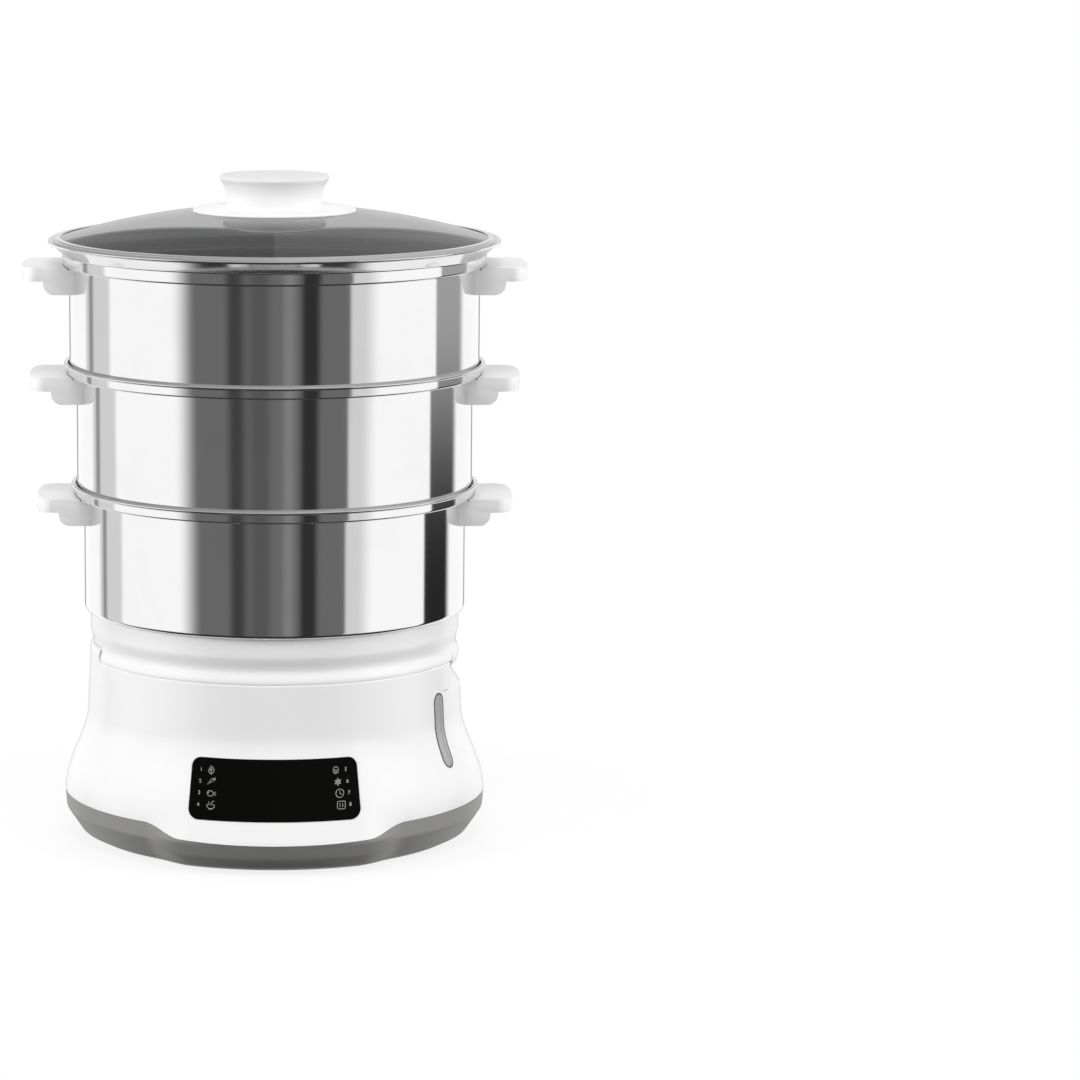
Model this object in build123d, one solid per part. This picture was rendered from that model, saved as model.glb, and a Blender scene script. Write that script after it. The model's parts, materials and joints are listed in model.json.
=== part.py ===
"""Three-tier electric food steamer, as an assembly of separate pieces.

Frame: millimetres, +Z up, origin on the table under the middle of the steamer.
The control panel faces -Y and the handles stand out along X.
Angles are measured from +X towards +Y, so the front is at -90 degrees.
The stack, from the table up: base, drip tray, three steel bowls, glass lid.
"""

import os
from math import asin, atan2, cos, degrees, radians, sin, sqrt, tan

from build123d import *

# ---------------------------------------------------------------- driving dimensions

FRONT = -90.0
RIGHT = 0.0
LEFT = 180.0
BACK = 90.0

# Running clearance between pieces that lift off each other, and fit of fixed pieces.
LIFT_GAP = 0.6
FIT = 0.2

# The smallest bowl sets the width of the whole stack.
SMALL_WALL_R = 114.6

# Base body: a round housing that flares to a wide foot, with a chin under the panel.
DECK_Z = 110.0
DECK_R = SMALL_WALL_R - 3.1
WAIST_Z = DECK_Z - 32.0
WAIST_R = DECK_R + 1.6
WIDEST_Z = 27.0
WIDEST_R = DECK_R + 15.6
FOOT_EDGE_Z = 4.5
FOOT_EDGE_R = WIDEST_R - 9.1
UNDERSIDE_Z = 1.5
UNDERSIDE_R = FOOT_EDGE_R - 6.0
CHIN_Z = 20.0
CHIN_R = WIDEST_R + 6.9
PANEL_SLOPE = 21.5

# The skirt: a band that stands nearly upright, under it a crease, then the flared foot.
BAND_UNDERCUT = 3.4
CHIN_UNDERCUT = 22.0
FOOT_FLARE = 34.2
CHIN_FOOT_FLARE = 40.8
CHIN_FOOT_EDGE_R = CHIN_R - 9.0
CHIN_UNDERSIDE_R = CHIN_FOOT_EDGE_R - 8.0
CHIN_HALF_ANGLE = 24.0
CHIN_FADE_ANGLE = 38.0
WALL = 2.5

# Rim of the housing, the ledge that carries the tank, and the parting line of the skirt.
MOUTH_R = DECK_R - 5.0
RIM_DEPTH = 6.0
LEDGE_Z = DECK_Z - 14.5
LEDGE_THICKNESS = 2.5
LEDGE_R = MOUTH_R - 3.5
PARTING_DIP_Z = 21.0
PARTING_CROWN = 1.3
DIP_HALF_WIDTH = 54.0
DIP_SHOULDER_X = 77.0

# Left locating tab and right finger recess, both as wide as TAB_HALF_ANGLE each way.
TAB_HALF_ANGLE = 20.0
TAB_TOP_Z = DECK_Z + 8.0
TAB_ROUND = 0.8
RECESS_LOW_Z = DECK_Z - 19.0
RECESS_TOP_Z = DECK_Z - 7.5
RECESS_TOP_R = MOUTH_R - 1.5

# Control panel, board and display.
PANEL_LOW_Z = 33.0
PANEL_TOP_Z = 67.0
PANEL_LOW_WIDTH = 101.0
PANEL_TOP_WIDTH = 95.0
PANEL_CORNER = 5.5
PANEL_THICKNESS = 1.6
PANEL_PROUD = 0.3
PANEL_LEDGE = 3.0
BOARD_WIDTH = 64.0
BOARD_HEIGHT = 26.0
BOARD_THICKNESS = 1.6
BOARD_DEPTH = 10.0
DISPLAY_WIDTH = 34.0
DISPLAY_HEIGHT = 13.0

# Water level window, on the right of the front.
WINDOW_ANGLE = -30.0
WINDOW_TOP_Z = LEDGE_Z - 2.5
WINDOW_LOW_Z = WINDOW_TOP_Z - 41.0
WINDOW_WIDTH = 3.2
WINDOW_SEAL = 0.8
SIGHT_WALL = 0.9
LEAST_FLAT = 0.02

# Water tank and what heats it.
TANK_R = LEDGE_R - 3.0
TANK_WALL = 2.0
TANK_FLOOR_Z = 40.0
TANK_CORNER = 6.0
TANK_FLANGE = 2.0
FLOOR_OPENING_R = 45.0
SEAL_THICKNESS = 1.5
SEAL_WIDTH = 7.0
HEATER_R = FLOOR_OPENING_R + SEAL_WIDTH + 2.0
HEATER_THICKNESS = 1.5
HEATER_CROWN = 3.0
ELEMENT_R = 32.0
ELEMENT_TUBE_R = 3.2
TERMINAL_R = 1.9
TERMINAL_LENGTH = 14.0
TERMINAL_SPACING = 16.0
THERMOSTAT_R = 9.0
THERMOSTAT_HEIGHT = 8.0
BLADE_THICKNESS = 1.0
FUSE_LENGTH = 14.0
FUSE_R = 2.0

# Base plate, feet, screws and power board.
PLATE_THICKNESS = 2.5
FOOT_R = 9.0
FOOT_RECESS = 1.0
FOOT_CIRCLE_R = UNDERSIDE_R - FOOT_R - 6.0
SCREW_CIRCLE_R = TANK_R - 20.0
SCREW_R = 1.8
SCREW_HEAD_R = 3.6
SCREW_HEAD_HEIGHT = 1.4
SCREW_LENGTH = 16.0
CROSS_LENGTH = 1.3
CROSS_WIDTH = 0.3
BOSS_R = 4.5
POWER_BOARD_X = 70.0
POWER_BOARD_Y = 46.0
POWER_BOARD_PLACE_Y = -25.0
TRANSFORMER_SIZE = (22.0, 20.0, 17.0)
RELAY_SIZE = (19.0, 15.0, 15.0)
TERMINAL_SIZE = (24.0, 9.0, 12.0)

# Places of the parts on the power board, as shares of its length and depth.
TRANSFORMER_PLACE = (-0.25, 0.0)
RELAY_PLACE = (0.25, -0.25)
TERMINAL_PLACE = (0.2, 0.33)
CAPACITOR_PLACES = ((0.07, 0.125), (0.36, 0.125))
CAPACITOR_R = 4.0
CAPACITOR_HEIGHT = 12.0
STANDOFF_HEIGHT = 5.0
STANDOFF_R = 3.0
VENT_COUNT = 9
VENT_LENGTH = 22.0
VENT_WIDTH = 3.0
VENT_PITCH = 8.0
VENT_Y = 40.0
GLAND_Z = 16.0
GLAND_R = 7.0
GLAND_BORE_R = 3.6
GLAND_STAND = 1.0
GLAND_SHOULDER = 3.0
GLAND_SHOULDER_R = 9.5
RIBBON_WIDTH = 12.0
RIBBON_THICKNESS = 0.8
RIBBON_LAP = 6.0
RIBBON_TURN = 3.2
RIBBON_BEND_R = 1.6

# Drip tray.
TRAY_HEIGHT = 27.5
TRAY_RIM_R = SMALL_WALL_R - 3.4
TRAY_TROUGH_R = MOUTH_R - 3.7
TRAY_WAIST_R = DECK_R - 3.5
TRAY_WAIST_HEIGHT = 8.0
TRAY_BELLY_HEIGHT = 17.0
TRAY_WALL = 2.0
TRAY_SPIGOT = 4.0
TRAY_FLOOR_HEIGHT = 4.0
CHIMNEY_R = 27.0
CHIMNEY_HEIGHT = 7.5
EAR_HALF_ANGLE = 17.0
EAR_R = DECK_R
EAR_LOW_R = RECESS_TOP_R + LIFT_GAP
EAR_RISE = 8.5

# Bowls, from the smallest at the bottom to the largest at the top.
SHEET = 0.8
NEST_STEP = 4.05
SMALL_WALL_HEIGHT = 69.7
MEDIUM_WALL_HEIGHT = 72.8
LARGE_WALL_HEIGHT = 65.4
SHOULDER_WIDTH = 5.4
SHOULDER_DROP = 8.4
FOOT_SEAM_DROP = 2.0
SPIGOT_INSET = 10.2
FLOOR_DROP = 13.7
BEND_R = 1.1
LEDGE_BEND_R = 0.5
SHOULDER_CORNER = 2.5
RIM_RISE = 7.0
RIM_BEAD_R = 1.25
RIM_FLARE = 2.0
LARGE_BAND_STEP = 3.7
FLARE_RISE = 5.6
LARGE_RIM_FLARE = 8.6
LARGE_RIM_RISE = 15.0

# Perforated floor plate of each bowl: six petals of round holes about a ring of six.
PLATE_R = 88.0
HOLE_R = 3.0
CENTRE_RING_R = 22.0
PETALS = 6
PETAL_ROWS = ((PLATE_R - 39.5, 3), (PLATE_R - 25.0, 4), (PLATE_R - 11.0, 5))
PETAL_PITCH = 11.4
PLATE_LAP = 4.0

# Bowl handles.
HANDLE_REACH = 28.0
HANDLE_HALF_WIDTH = 32.0
EAR_THICKNESS = 8.0
EAR_EDGE = 2.0
TIP_BOW = 3.0
TIP_CORNER = 8.0
ROOT_HEIGHT = 16.0
ROOT_REACH = 14.0
ROOT_CORNER = 6.5
HANDLE_SCREW_Y = 20.0
HANDLE_SCREW_DROP = 12.0
HANDLE_SCREW_R = 1.6
HANDLE_SCREW_HEAD_R = 3.2
HANDLE_SCREW_HEAD = 1.4
HANDLE_SCREW_LENGTH = 9.0

# Lid.
LID_RIM_INSET = 3.3
LID_TOP_RISE = 1.1
LID_LIP = 4.0
LID_FOOT = 2.6
GLASS_THICKNESS = 3.0
GLASS_RISE = 18.6
GLASS_SINK = 0.5
GLASS_HOLE_R = 4.0
KNOB_BASE_R = 48.6
KNOB_BASE_EDGE = 1.4
KNOB_BASE_TOP = 3.8
KNOB_NECK_R = 29.0
KNOB_TOP_R = KNOB_NECK_R + 3.8
KNOB_HEIGHT = 17.8
KNOB_NECK_HEIGHT = 10.0
KNOB_EDGE = 2.5
KNOB_WALL = 3.0
KNOB_TOP_WALL = 4.0
KNOB_BOSS_R = 7.0
WASHER_R = 11.0
WASHER_THICKNESS = 1.5
LID_SCREW_R = 2.4
LID_SCREW_HEAD_R = 5.5
LID_SCREW_HEAD = 2.2
LID_SCREW_LENGTH = 19.0

# ---------------------------------------------------------------- places in the stack

TRAY_TOP_Z = DECK_Z + TRAY_HEIGHT
PLATE_TOP_Z = UNDERSIDE_Z + PLATE_THICKNESS
TANK_IN_R = TANK_R - TANK_WALL
FLANGE_R = MOUTH_R - FIT
FLANGE_Z = LEDGE_Z + LEDGE_THICKNESS
HEATER_Z = TANK_FLOOR_Z + SEAL_THICKNESS
SLOPE = tan(radians(PANEL_SLOPE))
FAR = 2 * CHIN_R


class BowlSize:
    """Radii and heights of one bowl, all from its place in the stack."""

    def __init__(self, name, wall_r, shoulder_z, wall_height, upper_wall_r=None):
        self.name = name
        self.wall_r = wall_r
        self.shoulder_z = shoulder_z
        self.step_z = shoulder_z + wall_height
        self.shoulder_r = wall_r - SHOULDER_WIDTH
        self.spigot_r = wall_r - SPIGOT_INSET
        self.floor_z = shoulder_z - FLOOR_DROP
        self.handle_r = wall_r + HANDLE_REACH
        self.upper_wall_r = upper_wall_r


SMALL = BowlSize("small", SMALL_WALL_R, TRAY_TOP_Z, SMALL_WALL_HEIGHT, SMALL_WALL_R + NEST_STEP)
MEDIUM = BowlSize("medium", SMALL.upper_wall_r, SMALL.step_z, MEDIUM_WALL_HEIGHT,
                  SMALL.upper_wall_r + NEST_STEP)
LARGE = BowlSize("large", MEDIUM.upper_wall_r, MEDIUM.step_z, LARGE_WALL_HEIGHT)
BOWLS = (SMALL, MEDIUM, LARGE)

LARGE_BAND_R = LARGE.wall_r + LARGE_BAND_STEP
LARGE_RIM_R = LARGE_BAND_R + LARGE_RIM_FLARE
LARGE_RIM_Z = LARGE.step_z + LARGE_RIM_RISE
FLARE_Z = LARGE.step_z + FLARE_RISE
LID_RIM_R = LARGE_RIM_R - LID_RIM_INSET
LID_TOP_Z = LARGE_RIM_Z + LID_TOP_RISE

# ---------------------------------------------------------------- general shapes


def turned(*points):
    """Solid of revolution about Z from a closed outline of (radius, height) points."""
    outline = Plane.XZ * make_face(Polyline(*points, close=True))
    return revolve(outline, Axis.Z, 360)


def turned_sheet(points, thickness, bend):
    """Sheet of even thickness turned about Z, its outer face through the given points."""
    path = FilletPolyline(*points, radius=bend)
    outline = offset(Wire(path.edges()), amount=thickness, side=Side.LEFT, closed=True)
    return revolve(Plane.XZ * make_face(outline.edges()), Axis.Z, 360)


def drum(radius, low, high, x=0.0, y=0.0):
    """Upright cylinder between two heights."""
    return Pos(x, y, (low + high) / 2) * Cylinder(radius, high - low)


def wedge(middle, half_angle, radius, low, high):
    """Pie slice about Z that reaches past the given radius at its edges."""
    reach = radius / cos(radians(half_angle))
    corners = [(reach * cos(radians(a)), reach * sin(radians(a)))
               for a in (middle - half_angle, middle + half_angle)]
    slice_face = make_face(Polyline((0, 0), corners[0], corners[1], close=True))
    return Pos(0, 0, low) * extrude(slice_face, high - low)


def at_angle(angle, radius):
    """Plan position on a circle."""
    return radius * cos(radians(angle)), radius * sin(radians(angle))


# ---------------------------------------------------------------- base body


def side_radius(z):
    """Radius of the body at its sides and back."""
    if z <= WIDEST_Z:
        return WIDEST_R - (WIDEST_Z - z) * tan(radians(BAND_UNDERCUT))
    if z <= WAIST_Z:
        share = (z - WIDEST_Z) / (WAIST_Z - WIDEST_Z)
        return WIDEST_R + (WAIST_R - WIDEST_R) * share * share * (3 - 2 * share)
    share = (z - WAIST_Z) / (DECK_Z - WAIST_Z)
    return WAIST_R + (DECK_R - WAIST_R) * share


def front_radius(z):
    """Radius of the body at the middle of the front, over the chin."""
    if z < CHIN_Z:
        return CHIN_R - (CHIN_Z - z) * tan(radians(CHIN_UNDERCUT))
    return max(CHIN_R - (z - CHIN_Z) * SLOPE, side_radius(z))


def foot_radius(z, edge_r, underside_r, flare):
    """Radius of the flared foot, which is turned under below its edge."""
    if z <= FOOT_EDGE_Z:
        share = (z - UNDERSIDE_Z) / (FOOT_EDGE_Z - UNDERSIDE_Z)
        return underside_r + (edge_r - underside_r) * share
    return edge_r + (z - FOOT_EDGE_Z) * tan(radians(flare))


def foot_side_radius(z):
    """Radius of the flared foot at its sides and back."""
    return foot_radius(z, FOOT_EDGE_R, UNDERSIDE_R, FOOT_FLARE)


def body_section(z, inset):
    """Level outline of the body."""
    return level_outline(z, side_radius(z) - inset, front_radius(z) - side_radius(z))


def foot_section(z, inset):
    """Level outline of the flared foot."""
    side = foot_side_radius(z)
    front = foot_radius(z, CHIN_FOOT_EDGE_R, CHIN_UNDERSIDE_R, CHIN_FOOT_FLARE)
    return level_outline(z, side - inset, front - side)


def level_outline(z, side, reach):
    """Level face with a round back, which swells forward into the chin by a reach."""

    def point(angle_from_front):
        share = (CHIN_FADE_ANGLE - abs(angle_from_front)) / (CHIN_FADE_ANGLE - CHIN_HALF_ANGLE)
        share = min(max(share, 0.0), 1.0)
        radius = side + reach * share * share * (3 - 2 * share)
        return at_angle(FRONT + angle_from_front, radius)

    middle = (CHIN_FADE_ANGLE + CHIN_HALF_ANGLE) / 2
    turns = (-CHIN_FADE_ANGLE, -middle, -CHIN_HALF_ANGLE, 0, CHIN_HALF_ANGLE, middle, CHIN_FADE_ANGLE)
    ends = [Vector(*at_angle(FRONT + turn + 90, 1)) for turn in (turns[0], turns[-1])]
    front = Spline(*[point(turn) for turn in turns], tangents=ends)
    back = ThreePointArc(point(CHIN_FADE_ANGLE), at_angle(BACK, side), point(-CHIN_FADE_ANGLE))
    return Pos(0, 0, z) * make_face([front, back])


def base_form(inset, low=UNDERSIDE_Z, high=DECK_Z):
    """Solid of the base's outer form, drawn in by an even inset: the body within the foot's flare."""
    levels = [low, (low + CHIN_Z) / 2, CHIN_Z, WIDEST_Z]
    rise = (WAIST_Z - WIDEST_Z) / 4
    levels += [WIDEST_Z + rise * step for step in (1, 2, 3, 4)]
    levels += [(WAIST_Z + high) / 2, high]
    body = loft([body_section(level, inset) for level in levels])
    return body & loft([foot_section(level, inset) for level in (low, FOOT_EDGE_Z, high)], ruled=True)


def skirt_zone():
    """Everything below the parting line, which dips under the panel."""
    low = UNDERSIDE_Z - WALL
    end_x = CHIN_R + WALL
    run = (DIP_SHOULDER_X - DIP_HALF_WIDTH) / 2
    crown = (0, PARTING_DIP_Z - PARTING_CROWN)
    dip = ThreePointArc((-DIP_HALF_WIDTH, PARTING_DIP_Z), crown, (DIP_HALF_WIDTH, PARTING_DIP_Z))
    rises = [Bezier((side * DIP_HALF_WIDTH, PARTING_DIP_Z),
                    (side * (DIP_HALF_WIDTH + run), PARTING_DIP_Z),
                    (side * (DIP_SHOULDER_X - run), WIDEST_Z),
                    (side * DIP_SHOULDER_X, WIDEST_Z)) for side in (-1, 1)]
    frame = Polyline((-DIP_SHOULDER_X, WIDEST_Z), (-end_x, WIDEST_Z), (-end_x, low),
                     (end_x, low), (end_x, WIDEST_Z), (DIP_SHOULDER_X, WIDEST_Z))
    outline = Plane.XZ * make_face([dip, rises[0], rises[1], *frame.edges()])
    front_half = extrude(outline, FAR)
    back_half = Pos(0, FAR / 2, (low + WIDEST_Z) / 2) * Box(2 * end_x, FAR, WIDEST_Z - low)
    return front_half + back_half


def panel_prism(grow):
    """Upright prism through the front, with the panel's outline grown by a margin."""
    low, top = PANEL_LOW_Z - grow, PANEL_TOP_Z + grow
    half_low, half_top = PANEL_LOW_WIDTH / 2 + grow, PANEL_TOP_WIDTH / 2 + grow
    outline = make_face(Polyline((-half_low, low), (half_low, low), (half_top, top),
                                 (-half_top, top), close=True))
    outline = fillet(outline.vertices(), PANEL_CORNER + grow)
    return Pos(0, -TANK_R / 2, 0) * extrude(Plane.XZ * outline, FAR)


def window_prism(grow, start_r, end_r=FAR):
    """Radial slot through the housing at the level window, grown by a margin."""
    height = WINDOW_TOP_Z - WINDOW_LOW_Z
    slot = RectangleRounded(WINDOW_WIDTH + 2 * grow, height + 2 * grow,
                            (WINDOW_WIDTH - LEAST_FLAT) / 2 + grow)
    place = Rot(0, 0, WINDOW_ANGLE) * Pos(start_r, 0, (WINDOW_LOW_Z + WINDOW_TOP_Z) / 2)
    return place * extrude(Plane.YZ * slot, end_r - start_r)


def recess_form(depth):
    """Wedge that leaves the sloped finger recess, sunk by a depth into the housing."""
    low_r = side_radius(RECESS_LOW_Z)
    slant = (low_r - RECESS_TOP_R) / (RECESS_TOP_Z - RECESS_LOW_Z)
    shift = depth * sqrt(1 + slant * slant)
    top = TAB_TOP_Z
    outside = turned((low_r - shift, RECESS_LOW_Z), (FAR, RECESS_LOW_Z), (FAR, top),
                     (RECESS_TOP_R - shift - slant * (top - RECESS_TOP_Z), top))
    return outside & wedge(RIGHT, TAB_HALF_ANGLE, FAR, RECESS_LOW_Z, top)


def base_wall():
    """Hollow form of the base with its rim, tank ledge, locating tab and finger recess."""
    outer = base_form(0)
    rim_z = DECK_Z - RIM_DEPTH
    shell = outer - base_form(WALL, high=rim_z) - drum(MOUTH_R, rim_z - FIT, DECK_Z)
    ledge = drum(side_radius(LEDGE_Z) - WALL / 2, LEDGE_Z, FLANGE_Z)
    shell += ledge - drum(LEDGE_R, LEDGE_Z, FLANGE_Z)
    tab = drum(DECK_R, rim_z, TAB_TOP_Z) - drum(MOUTH_R, rim_z, TAB_TOP_Z)
    top_edges = tab.edges().filter_by(GeomType.CIRCLE).group_by(Axis.Z)[-1]
    tab = fillet(top_edges.sort_by(SortBy.RADIUS)[-1:], (DECK_R - MOUTH_R) * TAB_ROUND)
    shell += tab & wedge(LEFT, TAB_HALF_ANGLE, FAR, rim_z, TAB_TOP_Z)
    recess_back = outer & recess_form(WALL) & drum(FAR, RECESS_LOW_Z - WALL, RECESS_TOP_Z)
    return shell + recess_back - recess_form(0)


def base_housing(wall):
    """White upper shell, with its seat for the panel and slot for the level window."""
    housing = wall - skirt_zone()
    housing -= panel_prism(FIT) - base_form(PANEL_THICKNESS)
    housing -= panel_prism(-PANEL_LEDGE)
    return housing - window_prism(WINDOW_SEAL, LEDGE_R)


def base_skirt(wall):
    """Grey lower skirt with the hole for the cord inlet."""
    return (wall & skirt_zone()) - gland_cylinder(GLAND_R + FIT, 0, FAR)


def control_panel():
    """Black panel that follows the front, its face just proud of the housing."""
    return (panel_prism(0) & base_form(-PANEL_PROUD)) - base_form(PANEL_THICKNESS)


def level_window():
    """Clear sight tube from the tank wall out to the face of the housing."""
    tube = (window_prism(0, TANK_IN_R) & base_form(0)) - drum(TANK_R, 0, DECK_Z)
    return tube - (window_prism(-SIGHT_WALL, TANK_IN_R) & base_form(WALL))


def level_window_seal():
    """Dark gasket around the window, as deep as the wall."""
    ring = window_prism(WINDOW_SEAL, LEDGE_R) - window_prism(0, LEDGE_R)
    return (ring & base_form(0)) - base_form(WALL)


def gland_cylinder(radius, near, far):
    """Cylinder on the axis of the cord inlet, between two distances from the middle."""
    return Pos(0, (near + far) / 2, GLAND_Z) * Rot(90, 0, 0) * Cylinder(radius, far - near)


def cord_gland():
    """Bushing through the back of the skirt, with its shoulder inside."""
    face_y = WIDEST_R + GLAND_STAND
    seat_y = foot_side_radius(GLAND_Z - GLAND_SHOULDER_R) - WALL - FIT
    gland = gland_cylinder(GLAND_R, seat_y - GLAND_SHOULDER, face_y)
    gland = fillet(gland.edges().group_by(Axis.Y)[-1], GLAND_R / 5)
    gland += gland_cylinder(GLAND_SHOULDER_R, seat_y - GLAND_SHOULDER, seat_y)
    return gland - gland_cylinder(GLAND_BORE_R, 0, FAR)


# ---------------------------------------------------------------- inside the base


def corner_places(radius):
    """The four places at 45 degrees on a circle."""
    return [at_angle(45 + 90 * turn, radius) for turn in range(4)]


def water_tank():
    """Open tank that hangs from its flange, with four screw bosses under its floor."""
    low = TANK_FLOOR_Z - TANK_WALL
    top = FLANGE_Z + TANK_FLANGE
    outline = make_face(Polyline(
        (FLOOR_OPENING_R, low), (TANK_R, low), (TANK_R, FLANGE_Z), (FLANGE_R, FLANGE_Z),
        (FLANGE_R, top), (TANK_IN_R, top), (TANK_IN_R, TANK_FLOOR_Z),
        (FLOOR_OPENING_R, TANK_FLOOR_Z), close=True))
    corners = [(TANK_R, low, TANK_CORNER + TANK_WALL), (TANK_IN_R, TANK_FLOOR_Z, TANK_CORNER)]
    for r, z, bend in corners:
        outline = fillet(outline.vertices().sort_by_distance((r, z, 0))[:1], bend)
    tank = revolve(Plane.XZ * outline, Axis.Z, 360)
    for x, y in corner_places(SCREW_CIRCLE_R):
        tank += drum(BOSS_R, PLATE_TOP_Z, low + TANK_WALL / 2, x, y)
        tank -= drum(SCREW_R, PLATE_TOP_Z, UNDERSIDE_Z + SCREW_LENGTH + FIT, x, y)
    tank -= window_prism(-SIGHT_WALL, TANK_IN_R - TANK_WALL, TANK_R + TANK_WALL)
    return tank - recess_form(WALL + FIT)


def heater_plate():
    """Steel plate in the tank floor, raised over the heating element."""
    z, crown, thick = HEATER_Z, HEATER_CROWN, HEATER_THICKNESS
    inner = FLOOR_OPENING_R - crown
    return turned((0, z + crown), (inner - crown, z + crown), (inner, z), (HEATER_R, z),
                  (HEATER_R, z + thick), (inner - thick / 2, z + thick),
                  (inner - crown - thick / 2, z + crown + thick), (0, z + crown + thick))


def heater_seal():
    """Flat ring between the tank floor and the heater plate."""
    ring = drum(FLOOR_OPENING_R + SEAL_WIDTH, TANK_FLOOR_Z, HEATER_Z)
    return ring - drum(FLOOR_OPENING_R, TANK_FLOOR_Z, HEATER_Z)


def heating_element():
    """Ring-shaped tube under the plate, with its two terminals."""
    z = HEATER_Z + HEATER_CROWN - ELEMENT_TUBE_R
    gap = degrees(TERMINAL_SPACING / 2 / ELEMENT_R)
    ring = revolve(Pos(ELEMENT_R, 0, z) * (Plane.XZ * Circle(ELEMENT_TUBE_R)), Axis.Z, 360 - 2 * gap)
    element = Rot(0, 0, BACK + gap) * ring
    for angle in (BACK - gap, BACK + gap):
        x, y = at_angle(angle, ELEMENT_R)
        element += Pos(x, y, z) * Sphere(ELEMENT_TUBE_R)
        element += drum(TERMINAL_R, z - TERMINAL_LENGTH, z, x, y)
    return element


def thermostat():
    """Disc thermostat against the middle of the heater plate, with two blades."""
    top = HEATER_Z + HEATER_CROWN
    body = drum(THERMOSTAT_R, top - THERMOSTAT_HEIGHT, top)
    for side in (-1, 1):
        blade_z = top - THERMOSTAT_HEIGHT - THERMOSTAT_R / 4
        blade = Box(BLADE_THICKNESS, THERMOSTAT_R / 2, THERMOSTAT_R / 2)
        body += Pos(side * THERMOSTAT_R / 2, 0, blade_z) * blade
    return body


def thermal_fuse():
    """Small fuse that lies under the plate between thermostat and element."""
    y = (THERMOSTAT_R + ELEMENT_R - ELEMENT_TUBE_R) / 2
    z = HEATER_Z + HEATER_CROWN - FUSE_R
    return Pos(0, -y, z) * Rot(0, 90, 0) * Cylinder(FUSE_R, FUSE_LENGTH)


def base_plate():
    """Bottom cover with vents, recesses for the feet and counterbored screw holes."""
    plate = extrude(foot_section(UNDERSIDE_Z, WALL + FIT), PLATE_THICKNESS)
    for x, y in corner_places(SCREW_CIRCLE_R):
        plate -= drum(SCREW_R + FIT, UNDERSIDE_Z, PLATE_TOP_Z, x, y)
        plate -= drum(SCREW_HEAD_R + FIT, UNDERSIDE_Z, UNDERSIDE_Z + SCREW_HEAD_HEIGHT, x, y)
    for x, y in corner_places(FOOT_CIRCLE_R):
        plate -= drum(FOOT_R + FIT, UNDERSIDE_Z, UNDERSIDE_Z + FOOT_RECESS, x, y)
    for number in range(VENT_COUNT):
        x = (number - (VENT_COUNT - 1) / 2) * VENT_PITCH
        slot = Pos(x, VENT_Y, UNDERSIDE_Z) * Rot(0, 0, 90) * SlotOverall(VENT_LENGTH, VENT_WIDTH)
        plate -= extrude(slot, PLATE_THICKNESS)
    x, y = POWER_BOARD_X / 2 - STANDOFF_R, POWER_BOARD_Y / 2 - STANDOFF_R
    for place in GridLocations(2 * x, 2 * y, 2, 2):
        post = place * drum(STANDOFF_R, PLATE_TOP_Z, PLATE_TOP_Z + STANDOFF_HEIGHT)
        plate += Pos(0, POWER_BOARD_PLACE_Y, 0) * post
    return plate


def feet():
    """Four rubber feet, sunk into the base plate."""
    foot = drum(FOOT_R, 0, UNDERSIDE_Z + FOOT_RECESS)
    foot = chamfer(foot.edges().group_by(Axis.Z)[0], UNDERSIDE_Z / 3)
    return Compound([Pos(x, y, 0) * foot for x, y in corner_places(FOOT_CIRCLE_R)])


def screw(radius, length, head_r, head):
    """Screw along +Z with the outer face of its head at the origin."""
    length_wise, width_wise = head_r * CROSS_LENGTH, head_r * CROSS_WIDTH
    cross = Box(length_wise, width_wise, head) + Box(width_wise, length_wise, head)
    return drum(head_r, 0, head) + drum(radius, 0, length) - cross


def base_screws():
    """Four screws through the base plate into the tank bosses."""
    one = screw(SCREW_R, SCREW_LENGTH, SCREW_HEAD_R, SCREW_HEAD_HEIGHT)
    return Compound([Pos(x, y, UNDERSIDE_Z) * one for x, y in corner_places(SCREW_CIRCLE_R)])


def power_board():
    """Circuit board on the posts of the base plate."""
    z = PLATE_TOP_Z + STANDOFF_HEIGHT + BOARD_THICKNESS / 2
    return Pos(0, POWER_BOARD_PLACE_Y, z) * Box(POWER_BOARD_X, POWER_BOARD_Y, BOARD_THICKNESS)


def power_parts():
    """Transformer, relay, capacitors and terminal block standing on the power board."""
    z = PLATE_TOP_Z + STANDOFF_HEIGHT + BOARD_THICKNESS
    place = Pos(0, POWER_BOARD_PLACE_Y, z)
    base = (Align.CENTER, Align.CENTER, Align.MIN)
    can = Cylinder(CAPACITOR_R, CAPACITOR_HEIGHT, align=base)
    parts = [(Box(*TRANSFORMER_SIZE, align=base), TRANSFORMER_PLACE),
             (Box(*RELAY_SIZE, align=base), RELAY_PLACE),
             (Box(*TERMINAL_SIZE, align=base), TERMINAL_PLACE)]
    parts += [(can, share) for share in CAPACITOR_PLACES]
    return Compound([place * Pos(POWER_BOARD_X * x, POWER_BOARD_Y * y, 0) * part for part, (x, y) in parts])


def board_plane():
    """Plane of the control board, parallel to the panel and behind it."""
    z = (PANEL_LOW_Z + PANEL_TOP_Z) / 2
    slope = radians(PANEL_SLOPE)
    return Plane(origin=(0, BOARD_DEPTH - front_radius(z), z), x_dir=(1, 0, 0),
                 z_dir=(0, -cos(slope), sin(slope)))


def control_board():
    """Circuit board behind the panel."""
    return board_plane() * Box(BOARD_WIDTH, BOARD_HEIGHT, BOARD_THICKNESS)


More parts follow.
